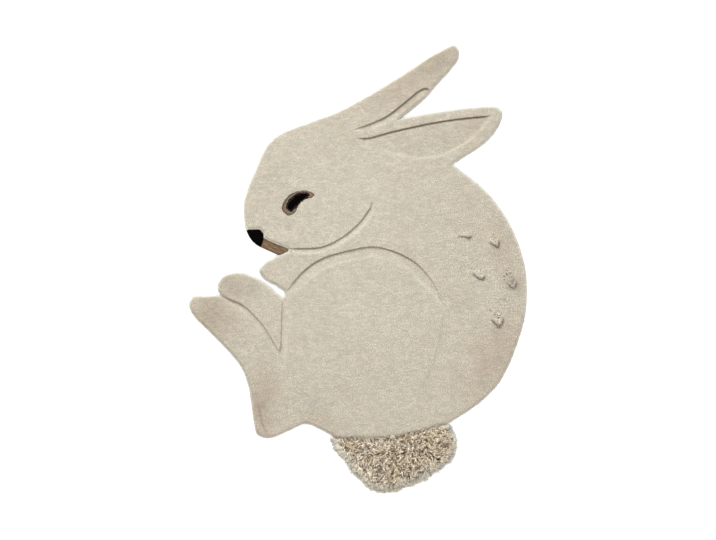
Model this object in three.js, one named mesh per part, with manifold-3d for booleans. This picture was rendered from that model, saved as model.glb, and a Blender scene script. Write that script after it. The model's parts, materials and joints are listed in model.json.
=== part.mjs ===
// A child's tufted wool rug in the shape of a curled-up rabbit, lying flat on the floor.
// The cut pile stands on one stiffened backing that also runs under the shaggy tail. The pile is
// carved with sloping cuts for the ears, cheek, haunch and feet. Nose, mouth and eye are pile of
// another colour set into the field, and five small longer tufts stand out of the back.
// Units are millimetres. X runs to the rabbit's back, Y to its ear tips, Z up from the floor.
import * as THREE from "three";
import { mergeVertices } from "three/addons/utils/BufferGeometryUtils.js";
import Module from "manifold-3d";

const wasm = await Module();
wasm.setup();

// Driving dimensions
const LENGTH = 1200; // ear tip to the end of the tail
const DRAWN_LENGTH = 1200; // the length at which the pattern tables below are drawn
const BACKING = 3; // backing cloth and latex under the pile
const PILE_TOP = 15; // backing and cut pile together
const EDGE_ROUND = 5; // the pile leans out and rounds over at the rim
const UNDERCUT = 2; // how far the rim's lower rounding is cut away by the floor
const GAP = 0.3; // between neighbouring pieces
const TAIL_TOP = 29; // mean height of the tail's shag
const TAIL_LUMP = 3; // how much the shag's top goes up and down
const TUFT_TOP = 23; // the five tufts on the back
const CLEAR = 1; // how far a cutter reaches past the face it cuts

const CURVE_ERROR = 0.45; // largest distance between a curve and its straight pieces
const LONGEST_STEP = 40; // longest straight piece of a curve
const SAMPLE = 3; // spacing of the points that a curve is first sampled at
const LONGEST_MITRE = 1.5; // how far a moved outline's corner may go, in distances that it moves by
const EAR_POINTS = 44; // round the hollow of the rear ear

// The rim, as smooth stretches that meet at corners. Points are x, y from the rug's middle.
const RIM = {
  face_and_front_ear: [
    [-211, 38], [-240, 51], [-266, 63], [-284, 78], [-297, 101], [-304, 136], [-304, 178], [-293, 220],
    [-270, 275], [-238, 338], [-205, 364], [-155, 385], [-100, 404], [-50, 423], [0, 450], [80, 496],
    [140, 534], [200, 573], [240, 593], [257, 599], [268, 586], [267, 563], [250, 538], [212, 496],
    [180, 459], [146, 429], [108, 400],
  ],
  rear_ear: [
    [108, 400], [150, 411], [220, 422], [300, 433], [350, 436], [372, 434], [384, 421], [382, 400],
    [364, 366], [336, 336], [296, 309], [251, 281],
  ],
  back: [
    [251, 281], [300, 246], [350, 201], [400, 131], [430, 62], [446, 0], [450, -70], [443, -133],
    [419, -213], [380, -296], [340, -341], [290, -380], [238, -411],
  ],
  under_tail: [[238, -411], [210, -416], [180, -428], [140, -439], [90, -448], [20, -450], [-58, -449]],
  belly_and_lower_foot: [
    [-58, -449], [-100, -426], [-139, -411], [-180, -427], [-215, -443], [-243, -449], [-268, -440],
    [-277, -412], [-284, -360], [-292, -310], [-312, -259], [-345, -218], [-400, -161], [-440, -120],
    [-450, -94], [-441, -73], [-410, -70], [-367, -69],
  ],
  upper_foot: [
    [-367, -69], [-375, -47], [-361, -19], [-320, -7], [-282, -17], [-250, -34], [-226, -53], [-203, -74],
  ],
  slit_end: [[-203, -74], [-195, -67], [-197, -57]],
  paw: [[-197, -57], [-222, -40], [-250, -25], [-264, -2], [-250, 18], [-211, 38]],
};

// The tail's rim, where the tips of its shag lie. It closes along the body's rim.
const TAIL_RIM = [
  [240, -409], [259, -437], [266, -468], [257, -505], [232, -529], [196, -551], [164, -571], [118, -588],
  [62, -599], [24, -583], [-14, -545], [-48, -502], [-72, -467], [-60, -448],
];
const TAIL_INTO_BODY = [[20, -415], [170, -395]]; // inside the body, where the rims overlap

// Carved lines. One side of each cut is steep and the other slopes up to the pile's top.
// slope_side is 1 where the slope is left of the line's direction and -1 where it is right of it.
// depth, slope and the fades at the two ends are lengths.
const STEEP = 2.5; // width of each cut's steep side
const FADED = 0.05; // share of its size that a cut still has at its very ends
const CARVED_LINES = {
  front_ear: {
    depth: 8, slope: 15, slope_side: -1, fade_in: 18, fade_out: 14,
    points: [[-13, 372], [30, 387], [75, 407], [120, 441], [165, 477], [183, 483], [194, 478]],
  },
  rear_ear: {
    depth: 9, slope: 12, slope_side: -1, fade_in: 18, fade_out: 12,
    points: [[-4, 350], [25, 350], [90, 367], [170, 385], [230, 396], [300, 405], [356, 410]],
  },
  cheek: {
    depth: 7, slope: 13, slope_side: -1, fade_in: 4, fade_out: 14,
    points: [[-186, 56], [-130, 56], [-92, 61], [-50, 80], [0, 120], [28, 156], [37, 174]],
  },
  haunch: {
    depth: 8, slope: 26, slope_side: -1, fade_in: 50, fade_out: 110,
    points: [
      [-192, -62], [-168, -30], [-138, 1], [-95, 29], [-40, 46], [36, 60], [90, 50], [150, 20],
      [185, -15], [210, -52], [231, -98],
    ],
  },
  between_feet: {
    depth: 8, slope: 11, slope_side: -1, fade_in: 5, fade_out: 10,
    points: [[-368, -69], [-335, -84], [-310, -94], [-280, -120], [-250, -155], [-230, -187], [-212, -219]],
  },
  haunch_front: {
    depth: 5, slope: 14, slope_side: 1, fade_in: 30, fade_out: 60,
    points: [[-201, -80], [-203, -140], [-205, -200], [-208, -226], [-204, -285]],
  },
  heel: {
    depth: 3.5, slope: 8, slope_side: 1, fade_in: 35, fade_out: 12,
    points: [[-269, -345], [-262, -380], [-252, -420], [-236, -447]],
  },
};

// The hollow of the rear ear, where the pile is cut lower.
const INNER_EAR = [
  [4, 348], [60, 357], [150, 379], [250, 397], [352, 407], [340, 387], [300, 347], [250, 316], [200, 299],
  [150, 297], [90, 311], [40, 334],
];
const INNER_EAR_DEPTH = 4;
const INNER_EAR_SLOPE = 7;

// Patches of another yarn. Past the rim their points only have to lie outside it.
const NOSE = [
  [-310, 102], [-290, 107], [-262, 108], [-252, 97], [-251, 84], [-259, 61], [-266, 50], [-310, 50],
];
const MOUTH = [
  [-251, 84], [-232, 74], [-205, 63], [-184, 56], [-187, 48], [-201, 41], [-214, 38], [-228, 38], [-266, 50],
  [-259, 61],
];
const EYE_RIM = [
  [-115, 200], [-135, 210], [-160, 209], [-182, 200], [-197, 182], [-203, 161], [-187, 144], [-169, 151],
  [-156, 174], [-140, 187], [-123, 192],
];
const EYE_PUPIL = [
  [-132, 199], [-146, 203], [-163, 198], [-179, 184], [-188, 168], [-181, 158], [-170, 166], [-157, 180],
  [-141, 191],
];
const PATCH_EDGE = 2; // width of the rounding clipped round a patch
const PATCH_EDGE_DEPTH = 3; // height of that rounding

// The five tufts on the back: middle, width across, length, and the way the point turns in degrees.
const BACK_TUFTS = [
  { x: 283, y: 93, across: 20, long: 38, turn: 92 },
  { x: 365, y: 74, across: 29, long: 35, turn: 25 },
  { x: 322, y: -13, across: 31, long: 35, turn: 38 },
  { x: 410, y: -31, across: 31, long: 38, turn: 22 },
  { x: 373, y: -135, across: 31, long: 42, turn: 12 },
];
// A tuft's sections from its root to its top: share of its outline, height, and droop to its point
const TUFT_SECTIONS = [
  { grow: 0.86, z: BACKING + GAP, droop: 0, uneven: 0 },
  { grow: 0.86, z: PILE_TOP + GAP, droop: 0, uneven: 0 },
  { grow: 1.0, z: PILE_TOP + 2.5, droop: 0.6, uneven: 1.2 },
  { grow: 0.96, z: PILE_TOP + 5.5, droop: 1.2, uneven: 1.2 },
  { grow: 0.72, z: TUFT_TOP - 0.8, droop: 1.6, uneven: 1.2 },
  { grow: 0.3, z: TUFT_TOP, droop: 1.8, uneven: 1.2 },
];
const TUFT_POINTS = 12; // round each section
const TUFT_PINCH = 0.22; // how much a tuft narrows to its point

// The shag slab's rings from its foot to its middle: share of the way out, height, share of the lumps
const SHAG_RINGS = [
  { share: 1, z: BACKING + GAP, rough: 0 },
  { share: 1.03, z: 13, rough: 0 },
  { share: 0.99, z: 21, rough: 0.5 },
  { share: 0.93, z: 26, rough: 1 },
  { share: 0.82, z: TAIL_TOP, rough: 1 },
  { share: 0.68, z: TAIL_TOP, rough: 1 },
  { share: 0.54, z: TAIL_TOP, rough: 1 },
  { share: 0.4, z: TAIL_TOP, rough: 1 },
  { share: 0.26, z: TAIL_TOP, rough: 1 },
  { share: 0.1, z: TAIL_TOP, rough: 1 },
];
// Waves that add up to the shag's lumps: their widths, how they are turned in degrees, their share
const SHAG_LUMPS = [
  { across: 110, along: 90, turn: 12, share: 0.6 },
  { across: 47, along: 54, turn: 38, share: 0.5 },
];
const SHAG_INSET = 15; // the slab's own rim lies this far inside the locks' tips
const BACKING_INSET = 20; // the backing under the tail ends this far inside them

// The locks at the tail's rim: three-sided, from inside the slab down to the floor
const LOCK = {
  count: 62, // round the free part of the rim
  long: 30, // from root to tip
  shortest: 0.84, // of that length
  longest: 1.04,
  root: 11, // thickness
  tip: 3.6,
  flat: 0.7, // height below the ridge's foot, of the half thickness
  lowest_root: 14, // height of the root above the floor
  highest_root: 22,
  lean: 0.45, // how far a tip may lean to one side, of the lock's length
  sections: [0, 0.35, 0.7, 1],
};

const scale = LENGTH / DRAWN_LENGTH;
const { degToRad, lerp } = THREE.MathUtils;

// A fixed pseudo-random value from 0 to 1 for each whole number
function scatter(n) {
  const s = Math.sin(n * 127.1 + 11.7) * 43758.5453;
  return s - Math.floor(s);
}

// Drops the points that a straight piece can skip with no more than the allowed error.
function thin(points, error) {
  if (points.length < 3) return points;
  const first = points[0];
  const last = points[points.length - 1];
  const chord = last.clone().sub(first);
  let worst = 0;
  let at = 0;
  points.forEach((p, i) => {
    const off = p.clone().sub(first);
    const away = Math.abs(off.cross(chord)) / Math.max(chord.length(), 1e-9);
    if (away > worst) {
      worst = away;
      at = i;
    }
  });
  if (worst <= error && chord.length() <= LONGEST_STEP) return [first, last];
  if (worst <= error) at = Math.floor(points.length / 2);
  return [...thin(points.slice(0, at + 1), error), ...thin(points.slice(at), error).slice(1)];
}

// A table's points at their real size
function place(rows) {
  return rows.map(([x, y]) => new THREE.Vector2(x, y).multiplyScalar(scale));
}

function curveThrough(points, closed) {
  const flat = points.map((p) => new THREE.Vector3(p.x, p.y, 0));
  return new THREE.CatmullRomCurve3(flat, closed, "centripetal");
}

// A smooth open curve through points, as few straight pieces as its shape needs
function smooth(points, error = CURVE_ERROR) {
  const curve = curveThrough(points, false);
  const steps = Math.ceil(curve.getLength() / SAMPLE);
  return thin(curve.getSpacedPoints(steps).map((p) => new THREE.Vector2(p.x, p.y)), error);
}

// A smooth closed curve through points
function smoothLoop(points) {
  const curve = curveThrough(points, true);
  const steps = Math.ceil(curve.getLength() / SAMPLE);
  const fine = curve.getSpacedPoints(steps).map((p) => new THREE.Vector2(p.x, p.y));
  const half = Math.floor(fine.length / 2);
  const parts = [fine.slice(0, half + 1), fine.slice(half)];
  return parts.flatMap((part) => thin(part, CURVE_ERROR).slice(0, -1));
}

// A closed outline moved inwards, along the bisector at each point. A negative distance moves it out.
function inset(outline, distance) {
  const side = THREE.ShapeUtils.isClockWise(outline) ? 1 : -1;
  return outline.map((p, i) => {
    const before = outline[(i + outline.length - 1) % outline.length];
    const after = outline[(i + 1) % outline.length];
    const a = p.clone().sub(before).normalize();
    const b = after.clone().sub(p).normalize();
    const along = a.clone().add(b).normalize();
    const reach = Math.min(LONGEST_MITRE, 1 / along.dot(a));
    return p.clone().add(new THREE.Vector2(along.y, -along.x).multiplyScalar(side * distance * reach));
  });
}

// A geometry's closed body as a manifold solid
function solid(geometry) {
  const bare = geometry.index ? geometry.toNonIndexed() : geometry.clone();
  bare.deleteAttribute("normal");
  bare.deleteAttribute("uv");
  const merged = mergeVertices(bare, 1e-4);
  return new wasm.Manifold(new wasm.Mesh({
    numProp: 3,
    vertProperties: merged.attributes.position.array,
    triVerts: new Uint32Array(merged.index.array),
  }));
}

// A solid's faces as a geometry
function geometryOf(manifold) {
  const mesh = manifold.getMesh();
  const geometry = new THREE.BufferGeometry();
  geometry.setAttribute("position", new THREE.BufferAttribute(mesh.vertProperties, 3));
  geometry.setIndex(new THREE.BufferAttribute(mesh.triVerts, 1));
  return geometry;
}

// An outline's plate from z low to z high, its top and lower edges rounded by edge and edgeDepth
function plate(outline, low, high, edge = 0, edgeDepth = edge) {
  const geometry = new THREE.ExtrudeGeometry(new THREE.Shape(outline), {
    depth: high - low - 2 * edgeDepth,
    bevelEnabled: edge > 0,
    bevelSize: edge,
    bevelOffset: -edge,
    bevelThickness: edgeDepth,
    bevelSegments: 3,
  });
  geometry.translate(0, 0, low + edgeDepth);
  return solid(geometry);
}

// A closed body skinned over rings of equal point count, from the first ring to the last
function skin(rings) {
  const count = rings[0].length;
  const positions = rings.flat().flatMap((p) => [p.x, p.y, p.z]);
  const faces = [];
  for (let r = 0; r + 1 < rings.length; r += 1) {
    for (let i = 0; i < count; i += 1) {
      const a = r * count + i;
      const b = r * count + ((i + 1) % count);
      faces.push(a, b, b + count, a, b + count, a + count);
    }
  }
  const last = (rings.length - 1) * count;
  for (let i = 1; i + 1 < count; i += 1) {
    faces.push(0, i + 1, i);
    faces.push(last, last + i, last + i + 1);
  }
  const geometry = new THREE.BufferGeometry();
  geometry.setAttribute("position", new THREE.Float32BufferAttribute(positions, 3));
  geometry.setIndex(faces);
  const made = solid(geometry);
  return made.volume() > 0 ? made : solid(geometry.setIndex(faces.reverse()));
}

// How far along its fade a carved line is, from almost nothing at its ends to its full size
function fade(along, length, line) {
  const start = Math.min(1, along / line.fade_in);
  const end = Math.min(1, (length - along) / line.fade_out);
  return Math.max(FADED, Math.sin((Math.min(start, end) * Math.PI) / 2));
}

// The cutter of a carved line: a wedge with one steep and one sloping side
function carvedLine(line) {
  const points = smooth(place(line.points), CURVE_ERROR / 2);
  const reach = [0];
  for (let i = 1; i < points.length; i += 1) {
    reach.push(reach[i - 1] + points[i].distanceTo(points[i - 1]));
  }
  const length = reach[reach.length - 1];
  return skin(points.map((p, i) => {
    const before = points[Math.max(i - 1, 0)];
    const way = points[Math.min(i + 1, points.length - 1)].clone().sub(before).normalize();
    const across = new THREE.Vector2(-way.y, way.x).multiplyScalar(line.slope_side);
    const size = fade(reach[i], length, line);
    const depth = line.depth * size;
    const flare = (depth + CLEAR) / depth;
    const slopeTop = p.clone().addScaledVector(across, line.slope * size * flare);
    const steepTop = p.clone().addScaledVector(across, -STEEP * size * flare);
    return [
      new THREE.Vector3(slopeTop.x, slopeTop.y, PILE_TOP + CLEAR),
      new THREE.Vector3(p.x, p.y, PILE_TOP - depth),
      new THREE.Vector3(steepTop.x, steepTop.y, PILE_TOP + CLEAR),
    ];
  }));
}

// The rug's whole pile before anything is set into it: rounded rim, carved lines, hollow ear
function carvedPile(rim) {
  const floor = new THREE.BoxGeometry(2 * LENGTH, 2 * LENGTH, 2 * EDGE_ROUND).translate(0, 0, -EDGE_ROUND);
  let pile = plate(rim, -UNDERCUT, PILE_TOP, EDGE_ROUND).subtract(solid(floor));
  for (const line of Object.values(CARVED_LINES)) pile = pile.subtract(carvedLine(line));
  const hollow = [
    { shrink: INNER_EAR_SLOPE, z: PILE_TOP - INNER_EAR_DEPTH },
    { shrink: 0, z: PILE_TOP },
    { shrink: 0, z: PILE_TOP + CLEAR },
  ];
  return pile.subtract(skin(hollow.map(({ shrink, z }) => {
    const ear = curveThrough(inset(place(INNER_EAR), shrink), true).getPoints(EAR_POINTS).slice(1);
    return ear.map((p) => new THREE.Vector3(p.x, p.y, z));
  })));
}

// A patch of another yarn: it stands on the backing, inside its pocket, with clipped edges
function patch(pile, outline) {
  const high = PILE_TOP + PATCH_EDGE_DEPTH;
  const low = BACKING + GAP - PATCH_EDGE_DEPTH;
  const block = plate(inset(outline, GAP), low, PILE_TOP, PATCH_EDGE, PATCH_EDGE_DEPTH);
  const straight = plate(inset(outline, GAP), BACKING + GAP, high);
  return pile.intersect(block).intersect(straight);
}

function pocket(outline) {
  return plate(outline, BACKING, PILE_TOP + CLEAR);
}

// A tuft's outline: round behind and drawn to a blunt point in front
function tuftOutline(tuft, grow) {
  return Array.from({ length: TUFT_POINTS }, (_, i) => {
    const angle = (i / TUFT_POINTS) * 2 * Math.PI;
    const pinch = 1 - TUFT_PINCH * (1 - Math.cos(angle)) * Math.abs(Math.sin(angle));
    const across = (Math.sin(angle) * tuft.across * pinch * grow) / 2;
    const along = (Math.cos(angle) * tuft.long * grow) / 2;
    const p = new THREE.Vector2(across, along).rotateAround(new THREE.Vector2(), degToRad(tuft.turn));
    return p.add(new THREE.Vector2(tuft.x, tuft.y)).multiplyScalar(scale);
  });
}

function backTuft(tuft, number) {
  const point = new THREE.Vector2(0, -1).rotateAround(new THREE.Vector2(), degToRad(tuft.turn));
  return skin(TUFT_SECTIONS.map((section, s) => tuftOutline(tuft, section.grow).map((p, i) => {
    const seed = (number * TUFT_SECTIONS.length + s) * TUFT_POINTS + i;
    const z = section.z + section.uneven * (scatter(seed) - 0.5);
    return new THREE.Vector3(p.x + point.x * section.droop, p.y + point.y * section.droop, z);
  })));
}

// How far the shag's top goes up or down at a place
function lump(x, y) {
  return SHAG_LUMPS.reduce((sum, wave) => {
    const turned = new THREE.Vector2(x, y).rotateAround(new THREE.Vector2(), degToRad(wave.turn));
    const ripple = Math.sin((2 * Math.PI * turned.x) / wave.across);
    return sum + TAIL_LUMP * wave.share * ripple * Math.sin((2 * Math.PI * turned.y) / wave.along);
  }, 0);
}

// A lock of shag that leaves the slab's side and bends down until it lies on the floor
function lock(root, out, number) {
  const side = new THREE.Vector2(-out.y, out.x);
  const lean = LOCK.lean * (2 * scatter(number) - 1);
  const long = LOCK.long * lerp(LOCK.shortest, LOCK.longest, scatter(number + LOCK.count));
  const rise = lerp(LOCK.lowest_root, LOCK.highest_root, scatter(number + 2 * LOCK.count));
  return skin(LOCK.sections.map((t) => {
    const middle = root.clone().addScaledVector(out, long * t).addScaledVector(side, lean * long * t * t);
    const half = lerp(LOCK.root, LOCK.tip, t * t) / 2;
    const foot = Math.max(0, rise * (1 - t * t) - half * LOCK.flat);
    return [
      new THREE.Vector3(middle.x + side.x * half, middle.y + side.y * half, foot),
      new THREE.Vector3(middle.x, middle.y, foot + half * (1 + LOCK.flat)),
      new THREE.Vector3(middle.x - side.x * half, middle.y - side.y * half, foot),
    ];
  }));
}

// The tail's outline, moved in from the tips of its shag and closed inside the body
function tailOutline(shrink) {
  const rows = inset(place([...TAIL_RIM, ...TAIL_INTO_BODY]), shrink);
  const free = rows.slice(0, TAIL_RIM.length);
  return [...smooth(free), ...rows.slice(TAIL_RIM.length)];
}

// The shaggy tail: a lumpy slab on the backing, with locks that reach past it to the floor
function shaggyTail(bodyRim) {
  const rim = tailOutline(SHAG_INSET);
  const middle = rim.reduce((sum, p) => sum.add(p), new THREE.Vector2()).divideScalar(rim.length);
  const slab = skin(SHAG_RINGS.map((ring) => rim.map((p) => {
    const q = p.clone().sub(middle).multiplyScalar(ring.share).add(middle);
    return new THREE.Vector3(q.x, q.y, ring.z + ring.rough * lump(q.x, q.y));
  })));
  const tips = curveThrough(place(TAIL_RIM), false);
  const locks = Array.from({ length: LOCK.count }, (_, i) => {
    const along = (i + 0.5) / LOCK.count;
    const tip = tips.getPointAt(along);
    const way = tips.getTangentAt(along);
    const out = new THREE.Vector2(-way.y, way.x);
    if (out.dot(new THREE.Vector2(tip.x, tip.y).sub(middle)) < 0) out.negate();
    return lock(new THREE.Vector2(tip.x, tip.y).addScaledVector(out, -LOCK.long), out, i);
  });
  const shag = locks.reduce((made, next) => made.add(next), slab);
  const besideBody = plate(inset(bodyRim, -GAP), -CLEAR, TAIL_TOP + 2 * TAIL_LUMP + CLEAR);
  const aboveBacking = plate(inset(tailOutline(BACKING_INSET), -GAP), -CLEAR, BACKING + GAP);
  return shag.subtract(besideBody).subtract(aboveBacking);
}

// The largest of a solid's separate bodies
function largest(manifold) {
  return manifold.decompose().sort((a, b) => b.volume() - a.volume())[0];
}

const YARN = {
  cream: { color: 0xd2cab8, roughness: 0.95 },
  shag: { color: 0xc9bca6, roughness: 0.95 },
  black: { color: 0x17120f, roughness: 0.9 },
  brown: { color: 0x8d715a, roughness: 0.95 },
};

const rug = new THREE.Group();

function add(name, manifold, yarn) {
  const mesh = new THREE.Mesh(
    geometryOf(manifold), new THREE.MeshStandardMaterial({ ...YARN[yarn], metalness: 0 }));
  mesh.name = name;
  rug.add(mesh);
}

const bodyRim = Object.values(RIM).flatMap((stretch) => smooth(place(stretch)).slice(0, -1));
const nose = place(NOSE);
const mouth = place(MOUTH);
const eye = smoothLoop(place(EYE_RIM));
const pupil = smoothLoop(place(EYE_PUPIL));
const tuftRoots = BACK_TUFTS.map((tuft) => inset(tuftOutline(tuft, TUFT_SECTIONS[0].grow), -GAP));

const pile = carvedPile(bodyRim);
let body = pile.add(plate(tailOutline(BACKING_INSET), 0, BACKING));
for (const outline of [nose, mouth, eye, ...tuftRoots]) body = body.subtract(pocket(outline));

add("body_pile", largest(body), "cream");
add("nose_pile", largest(patch(pile, nose)), "black");
add("mouth_pile", largest(patch(pile, mouth)), "brown");
add("eye_rim_pile", largest(patch(pile, eye).subtract(plate(pupil, 0, PILE_TOP + CLEAR))), "brown");
add("eye_pupil_pile", largest(patch(pile, pupil)), "black");
BACK_TUFTS.forEach((tuft, i) => add(`back_tuft_${i + 1}`, backTuft(tuft, i), "cream"));
add("tail_shag", largest(shaggyTail(bodyRim)), "shag");

// The origin is on the floor under the middle of the rug's box.
const middle = new THREE.Box3().setFromObject(rug).getCenter(new THREE.Vector3());
rug.position.set(-middle.x, -middle.y, 0);

export default rug;
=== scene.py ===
"""A child's tufted wool rug in the shape of a curled-up rabbit, dressed over its solid model.

The solid model gives the rug's outline, its thickness and the depth of every carved line. This file
covers it with wool: the ends of the cut yarn in rows, the yarn that leans out round the rim, the long
curled yarn of the tail, the five tufts on the back and the pile of other colours that is set in for
nose, mouth and eye. All lengths inside are metres, and the tables below are in millimetres.
"""

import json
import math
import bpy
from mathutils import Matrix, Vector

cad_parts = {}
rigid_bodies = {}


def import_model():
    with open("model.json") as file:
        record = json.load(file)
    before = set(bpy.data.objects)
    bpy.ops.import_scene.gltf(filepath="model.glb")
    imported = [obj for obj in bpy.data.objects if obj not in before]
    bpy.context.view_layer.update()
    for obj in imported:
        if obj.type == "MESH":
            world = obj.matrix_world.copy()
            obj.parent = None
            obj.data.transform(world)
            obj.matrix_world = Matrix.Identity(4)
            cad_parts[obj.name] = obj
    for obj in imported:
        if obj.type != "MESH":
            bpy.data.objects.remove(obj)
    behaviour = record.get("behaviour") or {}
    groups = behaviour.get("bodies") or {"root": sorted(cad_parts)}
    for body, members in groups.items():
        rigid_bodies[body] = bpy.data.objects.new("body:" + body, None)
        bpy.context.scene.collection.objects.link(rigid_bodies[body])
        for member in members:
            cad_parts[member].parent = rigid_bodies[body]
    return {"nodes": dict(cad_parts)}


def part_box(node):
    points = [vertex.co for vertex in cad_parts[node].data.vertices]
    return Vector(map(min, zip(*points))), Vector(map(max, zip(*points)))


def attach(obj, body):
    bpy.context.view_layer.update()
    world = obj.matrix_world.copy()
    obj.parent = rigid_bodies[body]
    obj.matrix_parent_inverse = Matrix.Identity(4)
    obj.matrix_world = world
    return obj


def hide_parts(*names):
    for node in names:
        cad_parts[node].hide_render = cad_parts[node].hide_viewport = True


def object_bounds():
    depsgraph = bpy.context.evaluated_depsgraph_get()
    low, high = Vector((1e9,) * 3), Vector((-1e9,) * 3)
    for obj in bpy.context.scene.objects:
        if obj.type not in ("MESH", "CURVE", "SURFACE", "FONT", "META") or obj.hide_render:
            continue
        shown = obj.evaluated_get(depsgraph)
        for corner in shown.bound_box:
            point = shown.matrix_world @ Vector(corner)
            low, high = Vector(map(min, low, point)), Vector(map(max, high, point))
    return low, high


bl_info = {
    "name": "Rabbit Shaped Kids Rug",
    "version": (1, 0, 0),
    "blender": (4, 5, 0),
    "location": "View3D > Sidebar > Rug",
    "description": "Dresses a rabbit shaped tufted rug in wool pile, long shag and carved lines",
    "category": "Object",
}

import bmesh
import bpy
import numpy as np
from bpy.props import FloatProperty, FloatVectorProperty, IntProperty, PointerProperty
from mathutils import Vector
from mathutils.bvhtree import BVHTree
from mathutils.geometry import delaunay_2d_cdt
from mathutils.kdtree import KDTree

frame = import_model()
CAD_LOW, CAD_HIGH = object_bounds()

MM = 0.001
BODY = "root"

BACKING_TOP = 3.0 * MM
PILE_TOP = 15.0 * MM
DOWN = Vector((0, 0, -1))


def table(columns, *rows):
    """Rows of values as dictionaries that are read by the columns' names."""
    return [dict(zip(columns.split(), row)) for row in rows]


# Places where the wool is a little more tan than the rest, which is its own colour, and where painted shade
# makes it darker, or lighter where that shade is negative: the middle, how far the patch reaches along and
# across itself, the way it is turned in degrees, how tan it is and how much painted shade it has
TAN_AND_SHADE_PATCHES = table(
    "x y along across turn tan shade",
    (150, 515, 175, 48, 38, 0.75, 0.7),
    (222, 560, 60, 38, 42, 0.1, 1.7),
    (136, 438, 55, 14, 38, 0.4, 1.6),
    (205, 345, 90, 36, 5, 0.1, 0.9),
    (310, 382, 60, 32, 35, 0.6, 0.4),
    (-385, -128, 75, 50, -45, 0.9, 1.9),
    (-325, -45, 60, 34, -20, 0.5, 1.7),
    (-255, -345, 110, 46, 82, 0.7, 1.2),
    (-256, -388, 70, 15, 106, 0.5, 1.3),
    (395, 60, 110, 52, -72, 0.5, 0.7),
    (365, -235, 150, 60, 62, 0.8, 0.85),
    (-100, -398, 70, 26, -8, 0.6, 0.5),
    (-110, -345, 100, 40, 0, 0.0, 0.7),
    (-228, 262, 60, 35, 60, 0.0, 0.7),
    (-60, 190, 190, 120, 20, -0.15, -0.3),
    (30, -90, 170, 130, -10, -0.1, -0.3),
)

# Lines of painted shade and painted highlight, drawn in the wool's colour alone: how far each reaches to
# either side, how dark its painted shade and how light its painted highlight is, and its points
SHADE_AND_HIGHLIGHT_LINES = table(
    "reach dark light points",
    (1.6, 0.4, 0, [(-219, -205), (-214, -215), (-209, -218), (-205, -211), (-203, -198)]),
    (3.2, 0.13, 0, [(229, -112), (222, -170), (205, -240), (172, -312)]),
    (3.0, 0.5, 0, [(36, 170), (38, 178)]),
    (3.0, 0.45, 0, [(-364, -67), (-345, -78), (-322, -88), (-300, -103)]),
    (5.0, 0, 0.9, [(226, -100), (228, -112)]),
    (3.0, 0, 0.4, [(-191, -86), (-193, -180), (-192, -310)]),
    (3.5, 0, 0.35, [(-252, -365), (-240, -405), (-226, -437)]),
    (8.0, 0, 0.35, [(-170, -48), (-140, -16), (-98, 11), (-42, 28)]),
)

# Where the solid's haunch cut runs on below the feet and the rug has none: its line and its reach
RUN_ON = {"points": [(-209, -239), (-204, -295)], "reach": 16}

# Places where a carved line shows less: the middle, the reach, and the shares of its painted shade and of the
# painted highlight at its crest that are lost
FAINTER = table(
    "x y reach share crest",
    (24, 372, 28, 0.0, 0.8),
    (-195, -150, 80, 0.0, 0.6),
    (70, 318, 20, 0.0, 0.5),
    (35, 57, 60, 0.35, 0.0),
    (-69, 36, 45, 0.2, 0.0),
    (-170, -35, 55, 0.5, 0.0),
    (205, -50, 75, 0.75, 0.0),
    (5, 105, 50, 0.35, 0.0),
    (30, 385, 40, 0.35, 0.0),
    (-205, -120, 50, 0.5, 0.0),
    (-207, -180, 40, 0.5, 0.0),
    (-208, -246, 27, 1.0, 0.0),
    (-208, -275, 34, 1.0, 0.0),
)

# The five tufts on the back: how many of the lobe's points, from the first on, are its overhanging lower
# edge, its share of the full height, how dark the painted shadow under that edge is, how light the painted
# highlight inside it is, the lobe, and the place and strength of its deepest painted shade
BACK_TUFTS = table(
    "edge height line inner lobe blot",
    (
        3, 0.4, 0.65, 2.6,
        [(269, 89), (285, 87), (299, 86), (301, 95), (285, 100), (271, 94)],
        {"x": 296, "y": 86, "reach": 7, "dark": 0.95},
    ),
    (
        4, 1, 1.0, 2.6,
        [(351, 72), (362, 66), (373, 60), (376, 74), (369, 90), (354, 87)],
        {"x": 370, "y": 61, "reach": 7, "dark": 0.85},
    ),
    (
        4, 0.9, 1.0, 2.6,
        [(309, -13), (319, -22), (330, -26), (337, -20), (335, -6), (321, 3), (311, -2)],
        {"x": 331, "y": -24, "reach": 6.5, "dark": 0.85},
    ),
    (
        4, 1, 0.75, 0.0,
        [(401, -39), (406, -45), (414, -49), (422, -37), (420, -22), (408, -14), (399, -22)],
        {"x": 413, "y": -39, "reach": 14, "dark": 0.68},
    ),
    (
        5, 1, 1.05, 2.6,
        [
            (359, -137), (367, -145), (375, -152), (381, -146),
            (387, -135), (384, -119), (372, -112), (361, -121),
        ],
        {"x": 375, "y": -150, "reach": 8, "dark": 0.9},
    ),
)

# Places where some yarn ends are light and some dark: the middle, the reach and the strength
SPECKLED = table(
    "x y reach share",
    (273, 98, 15, 0.7),
    (362, 83, 16, 0.8),
    (318, -8, 18, 0.9),
    (399, -17, 18, 1.0),
    (366, -120, 21, 1.2),
    (397, -93, 26, 0.4),
    (368, -88, 18, 0.35),
    (428, -162, 14, 0.7),
    (276, 1, 10, 0.5),
)

# The pile of another colour that is set into the field: the solid it stands for, its slot and its wools
SET_IN = {
    "nose_yarn": {"node": "nose_pile", "slot": "black_pile", "wools": ["black"]},
    "mouth_yarn": {"node": "mouth_pile", "slot": "brown_pile", "wools": ["brown"]},
    "eye_rim_yarn": {"node": "eye_rim_pile", "slot": "brown_pile", "wools": ["dusk", "black"]},
    "eye_pupil_yarn": {"node": "eye_pupil_pile", "slot": "black_pile", "wools": ["black"]},
}

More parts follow.
